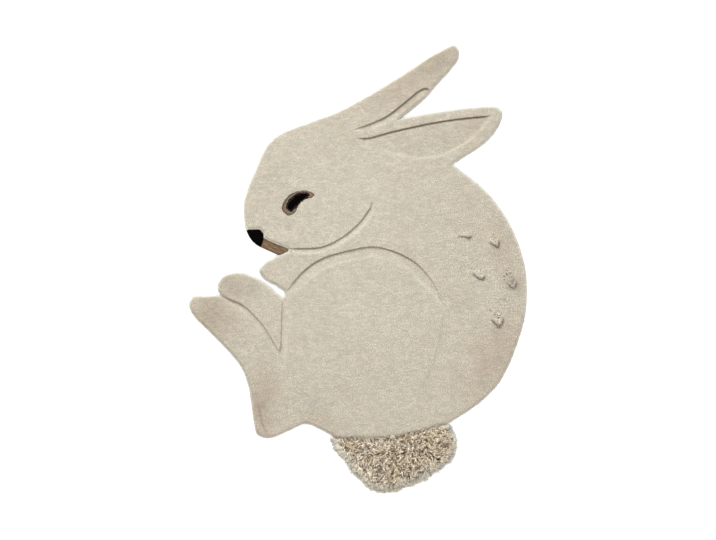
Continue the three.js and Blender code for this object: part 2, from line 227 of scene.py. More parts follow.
# The black of the eye, which spreads over the ends of the brown yarn beside it
PUPIL_OUTLINE = [
    (-190, 167), (-186, 178), (-182, 186), (-175, 192), (-166, 199), (-156, 202), (-147, 204), (-137, 203),
    (-131, 199), (-135, 191), (-142, 186), (-153, 178), (-162, 171), (-170, 162), (-180, 155), (-187, 162),
]

# The tail's rim, by the way it looks from the tail's middle in degrees: how far its thick yarns end inside
# the rim, and how far its fine ones go past it
TAIL_BORDER = table(
    "turn inside past",
    (-175, 2, 3),
    (-152, 1, 5),
    (-140, 1, 7),
    (-125, 0, 8),
    (-113, 1, 9),
    (-100, -1, 6),
    (-87, -3, 8),
    (-72, -6, 9),
    (-58, -6, 8),
    (-48, -7, 11),
    (-37, 0, 8),
    (-26, 1, 7),
    (-18, 2, 10),
    (-9, 10, 8),
    (2, 12, 6),
    (12, 8, 4),
)


def srgb(red, green, blue):
    """A colour given as it looks on a screen, 0 to 255, as the linear colour that a shader wants."""

    def linear(value):
        share = value / 255
        return share / 12.92 if share <= 0.04045 else ((share + 0.055) / 1.055) ** 2.4

    return (linear(red), linear(green), linear(blue))


def length_property(name, description, default):
    return FloatProperty(name=name, description=description, default=default, unit="LENGTH", min=0)


def colour_property(name, description, screen):
    default = srgb(*screen)
    return FloatVectorProperty(
        name=name, description=description, default=default, subtype="COLOR", size=3, min=0, max=1
    )


def count_property(name, description, default):
    return IntProperty(name=name, description=description, default=default, min=1)


def seed_property(default):
    about = "Number that the yarn's scatter starts from"
    return IntProperty(name="Seed", description=about, default=default)


def power_property(name, description, default):
    return FloatProperty(name=name, description=description, default=default, unit="POWER", min=0)


class PileSizes(bpy.types.PropertyGroup):
    """The cut pile of the field, its rim and the pile that is set in."""

    row_gap: length_property("Row gap", "Distance between rows of yarn ends", 2.6 * MM)
    end_gap: length_property("End gap", "Distance between yarn ends in a row", 2.7 * MM)
    end_width: length_property("End width", "Width of one cut yarn end", 4.1 * MM)
    end_rise: length_property("End rise", "How far a yarn end stands above the trimmed face", 0.35 * MM)
    unevenness: length_property("Unevenness", "How far the trimmed face goes up and down", 0.55 * MM)
    base_grid: length_property("Base grid", "Distance between points of the face below the ends", 5.0 * MM)
    base_sink: length_property("Base sink", "How far that face lies below the trimmed one", 1.1 * MM)
    rim_gap: length_property("Rim gap", "Distance between upright yarns round the rim", 2.5 * MM)
    rim_width: length_property("Rim width", "Width of an upright yarn at the rim", 3.2 * MM)
    seed: seed_property(21)


class TailSizes(bpy.types.PropertyGroup):
    """The long shag of the tail."""

    yarns: count_property("Yarns", "Number of thick yarns", 6200)
    yarn_width: length_property("Yarn width", "Width of one thick yarn", 3.0 * MM)
    yarn_length: length_property("Yarn length", "Length of a yarn that lies over the others", 16 * MM)
    curl: FloatProperty(
        name="Curl", description="How far a yarn turns to either side", default=0.75, subtype="ANGLE"
    )
    fringe_yarns: count_property("Fringe yarns", "Number of fine yarns at the rim", 1900)
    fringe_width: length_property("Fringe width", "Width of one fine yarn", 1.8 * MM)
    fringe_length: length_property("Fringe length", "Length of a fine yarn", 20 * MM)
    seed: seed_property(57)


class TuftSizes(bpy.types.PropertyGroup):
    """The five tufts on the back."""

    yarns: count_property("Yarns", "Number of overhanging yarns in one tuft", 90)
    yarn_width: length_property("Yarn width", "Width of one yarn", 2.6 * MM)
    rise: length_property("Rise", "How far a tuft's lower edge stands above the field", 5.0 * MM)
    seed: seed_property(83)


class WoolColours(bpy.types.PropertyGroup):
    """The colours of the yarns and of the backing cloth, the colours of the painted shade between the yarn
    ends and in the cuts, and that of the painted highlight.
    """

    cream: colour_property("Cream", "Cream wool of the field", (219, 212, 196))
    # Painted shade between and below the yarn ends
    cream_shaded: colour_property("Cream below", "Cream wool between the yarn ends", (154, 144, 124))
    rim: colour_property("Rim", "Cream wool that leans out at the rim", (210, 210, 202))
    # Painted shade near the backing at the rim
    rim_shaded: colour_property("Rim below", "Cream wool near the backing at the rim", (180, 173, 156))
    tan: colour_property("Tan", "Tint of the more tan places", (212, 196, 177))
    # Painted shade in the cuts, the gaps and under the tufts' edges
    cut: colour_property("Cut", "Wool in the depth of a carved line", (92, 70, 46))
    pale: colour_property("Pale", "Cream wool where the light catches an edge", (234, 236, 230))
    shag: colour_property("Shag", "Thick yarn of the tail", (244, 235, 218))
    shag_tan: colour_property("Shag tan", "The more tan of the thick yarns", (238, 217, 184))
    # Painted shade near the roots of the tail's yarns and in the gaps between its locks
    shag_shaded: colour_property("Shag below", "Thick yarn near its root", (80, 50, 0))
    fringe: colour_property("Fringe", "Fine yarn at the tail's rim", (244, 240, 226))
    # Painted shade near the roots of the fine yarns
    fringe_shaded: colour_property("Fringe below", "Fine yarn near its root", (176, 160, 130))
    brown: colour_property("Brown", "Wool of the mouth", (150, 122, 94))
    # Painted shade between the mouth's yarn ends
    brown_shaded: colour_property("Brown below", "Brown wool of the mouth between its ends", (84, 66, 48))
    dusk: colour_property("Dusk", "Wool of the eye's rim", (150, 130, 112))
    # Painted shade between the eye rim's yarn ends
    dusk_shaded: colour_property("Dusk below", "Wool of the eye's rim between its ends", (76, 62, 52))
    amber: colour_property("Amber", "Wool at the eye's corner", (170, 138, 108))
    black: colour_property("Black", "Wool of the nose and of the pupil", (12, 9, 8))
    # Painted shade between the black yarn ends
    black_shaded: colour_property("Black below", "Black wool between its ends", (4, 3, 3))
    backing: colour_property("Backing", "Cotton cloth under the rug", (206, 196, 174))


class StageSizes(bpy.types.PropertyGroup):
    """The floor, the light and the camera."""

    floor_size: length_property("Floor size", "Side of the square floor", 14.0)
    floor_colour: colour_property("Floor colour", "Colour of the floor", (250, 250, 250))
    camera_height: length_property("Camera height", "Height of the camera above the floor", 4.522)
    camera_lens: FloatProperty(
        name="Camera lens", description="Focal length in millimetres", default=85, subtype="DISTANCE_CAMERA"
    )
    key_power: power_property("Key power", "Power of the main soft light", 150)
    top_power: power_property("Top power", "Power of the overhead soft light", 150)
    sky_strength: FloatProperty(
        name="Sky strength", description="Brightness of the surroundings", default=0.62, subtype="FACTOR"
    )


SETTINGS = {
    "rug_pile": PileSizes,
    "rug_tail": TailSizes,
    "rug_tufts": TuftSizes,
    "rug_colours": WoolColours,
    "rug_stage": StageSizes,
}


def pile_sizes():
    return bpy.context.scene.rug_pile


# Noise and scatter

CLOUD_CELLS = 512


def cloud(x, y, reach_x, reach_y, seed):
    """Smooth noise from -1 to 1 over places x, y. Its patches are about reach_x by reach_y across."""
    table = np.random.default_rng(seed).uniform(-1, 1, (CLOUD_CELLS, CLOUD_CELLS))
    u, v = np.asarray(x) / reach_x, np.asarray(y) / reach_y
    column, row = np.floor(u).astype(int), np.floor(v).astype(int)
    u, v = u - column, v - row
    u, v = u * u * (3 - 2 * u), v * v * (3 - 2 * v)

    def corner(right, up):
        return table[(column + right) % CLOUD_CELLS, (row + up) % CLOUD_CELLS]

    low = corner(0, 0) * (1 - u) + corner(1, 0) * u
    high = corner(0, 1) * (1 - u) + corner(1, 1) * u
    return low * (1 - v) + high * v


def ramp(value, low, high):
    """0 below low, 1 above high and smooth between them."""
    share = np.clip((value - low) / (high - low), 0, 1)
    return share * share * (3 - 2 * share)


def uneven(points):
    """Points of the pile, moved up or down as the trimmed face is. The backing stays where it is."""
    x, y, z = points.T
    wave = 0.65 * cloud(x, y, 62 * MM, 48 * MM, 11) + 0.35 * cloud(x, y, 21 * MM, 17 * MM, 12)
    share = np.clip((z - BACKING_TOP) / (PILE_TOP - BACKING_TOP), 0, 1)
    moved = points.copy()
    moved[:, 2] += pile_sizes().unevenness * wave * share
    return moved


def zones(x, y):
    """How tan the wool is at each place, and how much painted shade it has, from the table of tan and shade
    patches.
    """
    tan = 0.26 * cloud(x, y, 33 * MM, 24 * MM, 13) + 0.12 * cloud(x, y, 13 * MM, 10 * MM, 14)
    shade = np.zeros(len(x))
    for patch in TAN_AND_SHADE_PATCHES:
        turn = math.radians(patch["turn"])
        right, up = x - patch["x"] * MM, y - patch["y"] * MM
        along = (right * math.cos(turn) + up * math.sin(turn)) / (patch["along"] * MM)
        across = (up * math.cos(turn) - right * math.sin(turn)) / (patch["across"] * MM)
        share = np.exp(-(along**2 + across**2) * 1.2)
        tan += patch["tan"] * share
        shade += patch["shade"] * share
    return tan, shade


def fade(distance, reach, power=2):
    """1 at no distance, about a third at the reach, and near 0 beyond twice the reach."""
    return np.exp(-((distance / reach) ** power))


def near_line(x, y, points):
    """Distance in metres from each place to a drawn line, whose points are in millimetres."""
    nearest = np.full(len(x), np.inf)
    for a, b in zip(points, points[1:]):
        (ax, ay), (bx, by) = np.array(a) * MM, np.array(b) * MM
        right, up = bx - ax, by - ay
        share = np.clip(((x - ax) * right + (y - ay) * up) / (right**2 + up**2), 0, 1)
        nearest = np.minimum(nearest, np.hypot(x - ax - share * right, y - ay - share * up))
    return nearest


def near_spot(x, y, spot, power=2):
    """How near each place is to the middle of a round spot of a table, from 0 to 1."""
    distance = np.hypot(x - spot["x"] * MM, y - spot["y"] * MM)
    return fade(distance, spot["reach"] * MM, power)


def inside_outline(x, y, outline):
    """Which places lie inside a closed outline, whose points are in millimetres."""
    inside = np.zeros(len(x), bool)
    for a, b in zip(outline, outline[1:] + outline[:1]):
        (ax, ay), (bx, by) = np.array(a) * MM, np.array(b) * MM
        if ay != by:
            crosses = (ay > y) != (by > y)
            inside ^= crosses & (x < ax + (y - ay) / (by - ay) * (bx - ax))
    return inside


def runs_on(x, y):
    """How near each place is to the stretch where the haunch's cut runs on too far, from 0 to 1."""
    return fade(near_line(x, y, RUN_ON["points"]), RUN_ON["reach"] * MM, power=4)


def closed_run_on(x, y, z, normal):
    """Heights and normals of the trimmed face with the haunch's cut closed where it runs on."""
    share = runs_on(x, y)
    return z + (PILE_TOP - z) * share, normal + (np.array([0, 0, 1]) - normal) * share[:, None]


# Painted shade in the cuts and painted highlight at their crests, put into the wool's colour
CUT_DARK = 0.92  # how dark the painted shade in a full cut is
CUT_REACH = 1.75 * MM  # how far that painted shade reaches to either side
FEET_SHARE = 0.5  # how much of that painted shade the cuts at the feet lose
CREST_LIGHT = 1.35  # how bright the painted highlight is where a cut's slope ends
CREST_REACH = 4.8 * MM
RIM_LIGHT = 3.2  # how bright the painted highlight on the rim's upper side is
RIM_REACH = 5.5 * MM  # how far in from the rim that painted highlight reaches
# Where the painted shade inside the rim's lower and left sides lies, how far it reaches and how dark it is
RIM_SHADE = {"at": 4 * MM, "reach": 2.7 * MM, "below": 0.27, "left": 0.16, "left_turn": math.radians(228)}
# The painted shadow under a tuft's lower edge and the painted highlight inside that edge, then the dark and
# light yarn ends round the tufts
TUFT_LINE_REACH = 2.9 * MM
TUFT_INNER = {"at": 7.5 * MM, "reach": 2.5 * MM}
SPECKLE = {"least": 0.3, "dark": 1.5, "light": 4.5}


def cut_lines(x, y):
    """The painted shade in the solid's own cuts, and the painted highlight at the crests where their slopes
    end.
    """
    surface = rug_surface()
    distance, strength = surface.cuts.at(x, y)
    at_feet = ramp(-x, 200 * MM, 212 * MM) * ramp(-y, 60 * MM, 70 * MM)
    dark = CUT_DARK * strength * (1 - FEET_SHARE * at_feet) * fade(distance, CUT_REACH)
    distance, strength = surface.crests.at(x, y)
    light = CREST_LIGHT * strength * fade(distance, CREST_REACH)
    dark *= 1 - runs_on(x, y)
    light *= 1 - runs_on(x, y)
    for patch in FAINTER:
        near = near_spot(x, y, patch)
        dark *= 1 - patch["share"] * near
        light *= 1 - patch["crest"] * near
    return dark, light


def rim_shade(x, y):
    """The shade inside the rim's lower and left sides, and the light on its upper side."""
    distance, turn = rug_surface().outline.at(x, y)
    facing = np.sin(turn)
    to_left = np.cos(turn - RIM_SHADE["left_turn"])
    shaded = RIM_SHADE["below"] * ramp(-facing, 0, 0.5) + RIM_SHADE["left"] * ramp(to_left, 0.85, 0.98)
    dark = shaded * fade(distance - RIM_SHADE["at"], RIM_SHADE["reach"])
    return dark, RIM_LIGHT * ramp(facing, 0.1, 0.6) * fade(distance, RIM_REACH)


def shade_and_highlight_lines(x, y):
    """The painted shade and the painted highlight of the lines that are drawn in colour alone."""
    dark, light = np.zeros((2, len(x)))
    for line in SHADE_AND_HIGHLIGHT_LINES:
        near = fade(near_line(x, y, line["points"]), line["reach"] * MM)
        dark = np.maximum(dark, line["dark"] * near)
        light = np.maximum(light, line["light"] * near)
    return dark, light


def tuft_shade(x, y):
    """The painted shadow under each tuft's lower edge and its spot of deepest painted shade, and the painted
    highlight inside that edge.
    """
    dark, light = np.zeros((2, len(x)))
    uneven_dark = 0.82 + 0.25 * cloud(x, y, 7 * MM, 5 * MM, 46)
    for tuft in BACK_TUFTS:
        from_edge = near_line(x, y, lower_edge(tuft))
        below = ~inside_outline(x, y, tuft["lobe"])
        line = tuft["line"] * uneven_dark * fade(from_edge, TUFT_LINE_REACH) * below
        blot = tuft["blot"]["dark"] * uneven_dark * near_spot(x, y, tuft["blot"])
        inner = fade(from_edge - TUFT_INNER["at"], TUFT_INNER["reach"]) * ~below
        dark = np.maximum(dark, np.maximum(line, blot))
        light = np.maximum(light, tuft["inner"] * inner)
    return dark, light


def speckles(x, y):
    """The single dark and light yarn ends round the tufts."""
    dark, light = np.zeros((2, len(x)))
    speckle = cloud(x, y, 3.6 * MM, 2.8 * MM, 47)
    for spot in SPECKLED:
        around = spot["share"] * near_spot(x, y, spot, power=4)
        dark = np.maximum(dark, SPECKLE["dark"] * np.clip(-speckle - SPECKLE["least"], 0, 1) * around)
        light = np.maximum(light, SPECKLE["light"] * np.clip(speckle - SPECKLE["least"], 0, 1) * around)
    return dark, light


def carving(x, y):
    """How much painted shade and painted highlight each place gets from the lines and edges near it."""
    dark, light = cut_lines(x, y)
    for part in (rim_shade, shade_and_highlight_lines, tuft_shade, speckles):
        more_dark, more_light = part(x, y)
        dark, light = np.maximum(dark, more_dark), np.maximum(light, more_light)
    return dark, light


def wool_values(x, y, tone, depth, repeat=1):
    """The named values that the wool's colour reads, for places that each stand for a few points."""
    tan, shade = zones(x, y)
    dark, light = carving(x, y)
    return {
        "yarn_tone": np.repeat(tone, repeat),
        "yarn_depth_shade": depth,
        "zone_tan": np.repeat(tan, repeat),
        # The patches' painted shade less the painted highlight, and the painted shade of cuts, rim, lines and
        # tufts
        "zone_shade": np.repeat(shade - light, repeat),
        "painted_shade": np.repeat(dark, repeat),
    }


# Meshes

def mesh_points(mesh):
    """A mesh's points, as rows of x, y and z."""
    co = np.zeros(len(mesh.vertices) * 3, np.float32)
    mesh.vertices.foreach_get("co", co)
    return co.reshape(-1, 3).astype(float)


def set_points(mesh, points):
    mesh.vertices.foreach_set("co", np.asarray(points, np.float32).ravel())


def add_floats(mesh, floats):
    """Named values for each point of a mesh."""
    for label, values in floats.items():
        attribute = mesh.attributes.new(label, "FLOAT", "POINT")
        attribute.data.foreach_set("value", np.asarray(values, np.float32))


def new_mesh(name, points, faces, floats=None, smooth=True):
    """An object of triangles or quads, all of one kind, with its named values for each point."""
    faces = np.asarray(faces, np.int32)
    mesh = bpy.data.meshes.new(name)
    mesh.vertices.add(len(points))
    set_points(mesh, points)
    mesh.loops.add(faces.size)
    mesh.loops.foreach_set("vertex_index", faces.ravel())
    mesh.polygons.add(len(faces))
    mesh.polygons.foreach_set("loop_start", np.arange(0, faces.size, faces.shape[1], dtype=np.int32))
    mesh.polygons.foreach_set("use_smooth", np.full(len(faces), smooth))
    add_floats(mesh, floats or {})
    mesh.update(calc_edges=True)
    mesh.validate()
    made = bpy.data.objects.new(name, mesh)
    bpy.context.scene.collection.objects.link(made)
    return made


class MeshParts:
    """Collects points, faces and named values of parts that become one mesh."""

    def __init__(self):
        self.points, self.faces, self.values = [], [], []
        self.count = 0

    def add(self, points, faces, values):
        """Takes one part. Its faces count from its own first point."""
        self.points.append(points)
        self.faces.append(np.asarray(faces) + self.count)
        self.values.append(values)
        self.count += len(points)

    def together(self):
        """All parts as one: points, faces and named values."""
        values = {key: np.concatenate([part[key] for part in self.values]) for key in self.values[0]}
        return np.concatenate(self.points), np.concatenate(self.faces), values


def finish_piece(piece, slot, materials, *nodes):
    """Gives a piece its materials, seats it on the rug and lets it stand for its nodes. Its slot is not used.
    """
    for material in materials:
        piece.data.materials.append(material)
    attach(piece, BODY)
    if nodes:
        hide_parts(*nodes)
    return piece


def merged_node(node):
    """A CAD node's mesh with its doubled points merged, as a new bmesh."""
    solid = bmesh.new()
    solid.from_mesh(frame["nodes"][node].data)
    bmesh.ops.remove_doubles(solid, verts=solid.verts, dist=1e-6)
    solid.faces.ensure_lookup_table()
    solid.verts.ensure_lookup_table()
    for face in solid.faces:
        face.normal_update()
    return solid


def solid_mesh(solid):
    """The points and the faces of a bmesh whose faces are all of one kind."""
    points = np.array([vert.co for vert in solid.verts])
    return points, np.array([[vert.index for vert in face.verts] for face in solid.faces])


def repeated(pattern, count, size):
    """The triangles of many like parts, from those of one and from how many points each part has."""
    return (np.arange(count)[:, None, None] * size + np.array(pattern)).reshape(-1, 3)


LOOKS_UP = 0.05  # the least upward share of a normal that counts


def upper_face(solid):
    """The largest group of joined faces that look up: the top of a solid, with its slopes."""
    upward = {face.index for face in solid.faces if face.normal.z > LOOKS_UP}
    best, best_area = [], 0.0
    while upward:
        reached = [upward.pop()]
        group, area = [], 0.0
        while reached:
            face = solid.faces[reached.pop()]
            group.append(face.index)
            area += face.calc_area()
            for other in (other for edge in face.edges for other in edge.link_faces):
                if other.index in upward:
                    upward.discard(other.index)
                    reached.append(other.index)
        if area > best_area:
            best, best_area = group, area
    return best


class Trail:
    """Points along lines seen from above, each with a strength, to find the nearest one."""

    def __init__(self, lines, step):
        places, strengths = [], []
        for a, b, first, last in lines:
            count = max(1, math.ceil((b - a).length / step))
            places += [a.lerp(b, i / count) for i in range(count + 1)]
            strengths += [first + (last - first) * i / count for i in range(count + 1)]
        self.strengths = np.array(strengths)
        self.tree = KDTree(len(places))
        for i, place in enumerate(places):
            self.tree.insert((place.x, place.y, 0), i)
        self.tree.balance()

    def at(self, x, y):
        """Distance to the nearest point and that point's strength, for each place."""
        found = [self.tree.find((right, up, 0)) for right, up in zip(x.tolist(), y.tolist())]
        return np.array([hit[2] for hit in found]), self.strengths[[hit[1] for hit in found]]


class Surface:
    """The trimmed face of a solid: its heights and slopes, its rim and its creases."""

    CREASE = math.radians(5)  # the least turn between two faces that makes a line
    CUT = math.radians(45)  # the least turn at the bottom of a carved line
    CREST = (math.radians(8), math.radians(50))  # the turns where its slope meets the level face
    SHALLOW = 3.6 * MM  # the depth from which a carved line gets painted shade
    FULL = 5.2 * MM  # how much deeper it is where that painted shade is darkest
    CREST_STARTS = 9 * MM  # how far from a cut the painted highlight on its crest shows in full
    CREST_ENDS = 7 * MM  # how close to the rim no painted highlight shows on a crest

    def __init__(self, node):
        self.solid = merged_node(node)
        self.top = upper_face(self.solid)
        chosen = set(self.top)
        points = [vert.co.copy() for vert in self.solid.verts]
        self.tree = BVHTree.FromPolygons(
            points, [[vert.index for vert in self.solid.faces[i].verts] for i in self.top]
        )
        self.rim, self.creases = [], []
        for edge in self.solid.edges:
            inside = [face for face in edge.link_faces if face.index in chosen]
            if len(inside) == 1:
                self.rim.append(edge)
            elif len(inside) == 2 and edge.calc_face_angle(0) > self.CREASE:
                self.creases.append(edge)
        self.border = Trail([(*self.ends(edge), 1, 1) for edge in self.rim], 1.5 * MM)

    @staticmethod
    def ends(edge):
        return [vert.co for vert in edge.verts]

    def find_carving(self):
        """Keeps the carved lines, the crests where their slopes end, and the way the outline faces."""
        cuts, crests = [], []
        for edge in self.creases:
            a, b = self.ends(edge)
            angle = edge.calc_face_angle(0)
            depth = PILE_TOP - min(a.z, b.z)
            if angle > self.CUT and not edge.is_convex and depth > 0.6 * MM:
                depths = [PILE_TOP - end.z for end in (a, b)]
                cuts.append((a, b, *(min(1.0, max(0.0, (d - self.SHALLOW) / self.FULL)) for d in depths)))
            elif edge.is_convex and self.CREST[0] < angle < self.CREST[1] and depth < 0.2 * MM:
                crests.append((a, b))
        self.cuts = Trail(cuts, 1.0 * MM)
        middles = np.array([(a + b) / 2 for a, b in crests])
        from_rim, _ = self.border.at(middles[:, 0], middles[:, 1])
        from_cut, _ = self.cuts.at(middles[:, 0], middles[:, 1])
        strengths = np.clip(from_cut / self.CREST_STARTS, 0, 1) * (from_rim > self.CREST_ENDS)
        self.crests = Trail([(a, b, s, s) for (a, b), s in zip(crests, strengths) if s > 0], 2.0 * MM)
        place, normal = even_places(rim_loop(self), 1.5 * MM)
        steps = zip(place, place, np.arctan2(normal[:, 1], normal[:, 0]))
        self.outline = Trail([(Vector(a).to_3d(), Vector(b).to_3d(), f, f) for a, b, f in steps], 1.5 * MM)

    def heights(self, x, y):
        """Height and normal at each place. The height is nan where there is no trimmed face."""
        height = np.full(len(x), np.nan)
        normal = np.zeros((len(x), 3))
        for i, (right, up) in enumerate(zip(x.tolist(), y.tolist())):
            hit = self.tree.ray_cast(Vector((right, up, 1)), DOWN)
            if hit[0] is not None:
                height[i] = hit[0].z
                normal[i] = hit[1]
        normal[normal[:, 2] < 0] *= -1
        return height, normal


def lattice(low, high, gap, row_gap, jitter, random):
    """Places in staggered rows over a box, each moved a little at random."""
    rows = np.arange(low.y, high.y, row_gap)
    columns = np.arange(low.x, high.x, gap)
    x, y = np.meshgrid(columns, rows)
    x = x + (np.arange(len(rows)) % 2)[:, None] * gap / 2
    x = x + random.uniform(-jitter, jitter, x.shape) * gap
    y = y + random.uniform(-jitter, jitter, y.shape) * row_gap
    return x.ravel(), y.ravel()


# The base: stiffened backing and the pile's body

CLEAR_OF_LINES = 0.42  # how far an added point stays from a kept line, as a share of the grid
BASE_DEPTH = 0.85  # how much painted shade the base gets for lying below the yarn ends, from 0 to 1


def kept_lines(surface):
    """The corners on a trimmed face's rim and creases, and the edges between them."""
    edges = [tuple(vert.index for vert in edge.verts) for edge in surface.rim + surface.creases]
    kept = sorted({index for edge in edges for index in edge})
    number = {index: n for n, index in enumerate(kept)}
    corners = np.array([surface.solid.verts[index].co for index in kept])
    return corners, [(number[a], number[b]) for a, b in edges]


def refined_top(surface, grid, random):
    """The trimmed face with even, finer triangles that keep its rim and its creases."""
    fixed, edges = kept_lines(surface)
    x, y = lattice(CAD_LOW, CAD_HIGH, grid, grid * math.sqrt(0.75), 0.12, random)
    height, _ = surface.heights(x, y)
    inside = ~np.isnan(height)
    x, y, height = x[inside], y[inside], height[inside]
    lines = Trail([(*surface.ends(edge), 1, 1) for edge in surface.rim + surface.creases], grid / 3)
    free = lines.at(x, y)[0] > grid * CLEAR_OF_LINES
    x, y, height = x[free], y[free], height[free]

    flat = np.concatenate([fixed[:, :2], np.column_stack([x, y])]) / MM
    flat = [Vector(place) for place in flat.tolist()]
    places, _, faces, sources, *_ = delaunay_2d_cdt(flat, edges, [], 0, 1e-6, True)
    original = np.concatenate([fixed[:, 2], height])
    z = np.array([original[source[0]] if source else np.nan for source in sources])
    flat = np.array([(place.x, place.y) for place in places]) * MM
    lost = np.isnan(z)
    z[lost] = surface.heights(flat[lost, 0], flat[lost, 1])[0]
    triangles = np.array([face for face in faces if len(face) == 3])
    middles = flat[triangles].mean(axis=1)
    hit, _ = surface.heights(middles[:, 0], middles[:, 1])
    triangles = triangles[~np.isnan(hit)]
    a, b, c = (flat[triangles[:, i]] for i in range(3))
    turned = (b[:, 0] - a[:, 0]) * (c[:, 1] - a[:, 1]) - (b[:, 1] - a[:, 1]) * (c[:, 0] - a[:, 0]) < 0
    triangles[turned] = triangles[turned][:, ::-1]
    return np.column_stack([flat, z]), triangles


def build_base(surface):
    """The rug's body: its trimmed face made finer and sunk below the yarn ends, walls and underside kept."""
    sizes = pile_sizes()
    random = np.random.default_rng(sizes.seed)
    points, triangles = refined_top(surface, sizes.base_grid, random)
    points[:, 2], _ = closed_run_on(*points.T, np.zeros((len(points), 3)))
    top = set(surface.top)
    rest = [[vert.index for vert in face.verts] for face in surface.solid.faces if face.index not in top]
    every = np.concatenate([points, solid_mesh(surface.solid)[0]])
    made = new_mesh("rug_base", every, np.concatenate([triangles, np.array(rest) + len(points)]))

    body = bmesh.new()
    body.from_mesh(made.data)
    bmesh.ops.remove_doubles(body, verts=body.verts, dist=2e-6)
    bmesh.ops.delete(body, geom=[vert for vert in body.verts if not vert.link_faces], context="VERTS")
    body.normal_update()
    for vert in body.verts:
        if any(face.normal.z > LOOKS_UP for face in vert.link_faces):
            share = min(1.0, max(0.0, (vert.co.z - BACKING_TOP) / (PILE_TOP - BACKING_TOP) * 2))
            vert.co.z -= sizes.base_sink * share
    body.to_mesh(made.data)
    body.free()

    moved = uneven(mesh_points(made.data))
    set_points(made.data, moved)
    for face in made.data.polygons:
        face.material_index = 1 if face.normal.z < -0.3 or face.center.z < BACKING_TOP else 0
        face.use_smooth = face.normal.z > 0.2
    x, y, _ = moved.T
    tone = cloud(x, y, 9 * MM, 4 * MM, 31) * 0.5
    add_floats(made.data, wool_values(x, y, tone, np.full(len(x), BASE_DEPTH)))
    return made


# Yarn ends: small closed domes

END_DEPTH = 2.2 * MM  # how far an end's root lies below the trimmed face
END_SHOULDER = 0.5 * MM  # how far its widest ring lies below that face
END_SIDES = 3
END_POINTS = END_SIDES + 2
END_WIDER = (0.86, 1.14)  # shares of the width that ends have at random
END_FLATTER = (0.8, 1.2)  # how much wider they are one way than the other
END_TILT = 0.12  # how far they lean at random
END_UPRIGHT = 0.35  # how far they right themselves on a slope


def yarn_ends(x, y, z, normal, width, rise, random):
    """Closed domes: a top, a ring of three points and a root. Returns points, faces and depths."""
    count = len(x)
    middle = np.column_stack([x, y, z])
    axis = normal + np.column_stack([random.normal(0, END_TILT, (count, 2)), np.full(count, END_UPRIGHT)])
    axis /= np.linalg.norm(axis, axis=1)[:, None]
    turn = random.uniform(0, 2 * math.pi, count)
    first = np.column_stack([np.cos(turn), np.sin(turn), np.zeros(count)])
    first -= axis * (first * axis).sum(1)[:, None]
    first /= np.linalg.norm(first, axis=1)[:, None]
    second = np.cross(axis, first)
    half = (width / 2 * random.uniform(*END_WIDER, count))[:, None]
    flat = random.uniform(*END_FLATTER, count)[:, None]
    shoulder = middle - axis * END_SHOULDER
    ring = [
        shoulder + (first * math.cos(around) * flat + second * math.sin(around) / flat) * half
        for around in np.arange(END_SIDES) * 2 * math.pi / END_SIDES
    ]
    points = np.stack([middle + axis * rise[:, None], *ring, middle - axis * END_DEPTH], axis=1)
    pattern = []
    for i in range(END_SIDES):
        a, b = 1 + i, 1 + (i + 1) % END_SIDES
        pattern += [(0, a, b), (END_POINTS - 1, b, a)]
    # Each point's depth, which the wool's colour turns into painted shade between the ends
    depth = np.tile([0.0, *[0.42] * END_SIDES, 1.0], count)
    return points.reshape(-1, 3), repeated(pattern, count, END_POINTS), depth


def ends_on(surface, steepest, low, high, tighter, random):
    """Places, heights and normals for the yarn ends on a trimmed face, less its steep parts."""
    sizes = pile_sizes()
    x, y = lattice(low, high, sizes.end_gap * tighter, sizes.row_gap * tighter, 0.3, random)
    z, normal = closed_run_on(x, y, *surface.heights(x, y))
    good = ~np.isnan(z) & (normal[:, 2] > steepest)
    return x[good], y[good], z[good], normal[good]


def wisps(x, y):
    """The small wisps of the cut pile, longer across the rug than along it, from about -1 to 1."""
    fine = cloud(x, y, 10 * MM, 3.7 * MM, 41)
    middle = cloud(x, y, 14 * MM, 9 * MM, 42)
    wide = cloud(x, y, 38 * MM, 24 * MM, 43)
    return fine + 0.42 * middle + 0.3 * wide


STRAY_SHARE = 0.03  # how many of the ends are strays
STRAY_RISE = (0.3, 0.9)  # how much higher they stand, in millimetres


def end_rises(wisp, random):
    """How far each yarn end stands up. Its wisp lifts it, and a few stray ends stand proud."""
    rise = pile_sizes().end_rise * (1 + 0.9 * wisp + random.normal(0, 0.35, len(wisp)))
    stray = random.random(len(wisp)) < STRAY_SHARE
    rise[stray] += random.uniform(*STRAY_RISE, stray.sum()) * MM
    return rise


FIELD_BANDS = 4
FIELD_STEEPEST = 0.5  # the least upward share of the normal where the field has ends
SET_IN_STEEPEST = 0.3
SET_IN_TIGHTER = 0.86  # how much closer the ends of the set-in pile stand


def build_field(surface):
    """The field's yarn ends, in bands across the rug."""
    sizes = pile_sizes()
    random = np.random.default_rng(sizes.seed + 1)
    x, y, z, normal = ends_on(surface, FIELD_STEEPEST, CAD_LOW, CAD_HIGH, 1, random)
    wisp = wisps(x, y)
    rise = end_rises(wisp, random)
    tone = wisp + random.normal(0, 0.3, len(x))
    order = np.argsort(y)
    pieces = []
    for number, chosen in enumerate(np.array_split(order, FIELD_BANDS)):
        chosen = np.sort(chosen)
        points, faces, depth = yarn_ends(
            x[chosen], y[chosen], z[chosen], normal[chosen], sizes.end_width, rise[chosen], random
        )
        values = wool_values(x[chosen], y[chosen], tone[chosen], depth, END_POINTS)
        pieces.append(new_mesh(f"pile_field_{number + 1}", uneven(points), faces, values))
    return pieces


# Strands: yarns with a length, as closed tubes of four sides

FLOOR_CLEAR = 0.2 * MM  # no yarn lies lower than this


def spread(values, sides=4):
    """Values by yarn and section, given to each point of the strands."""
    return np.concatenate([np.repeat(values, sides, axis=1), values[:, :1], values[:, -1:]], axis=1).ravel()


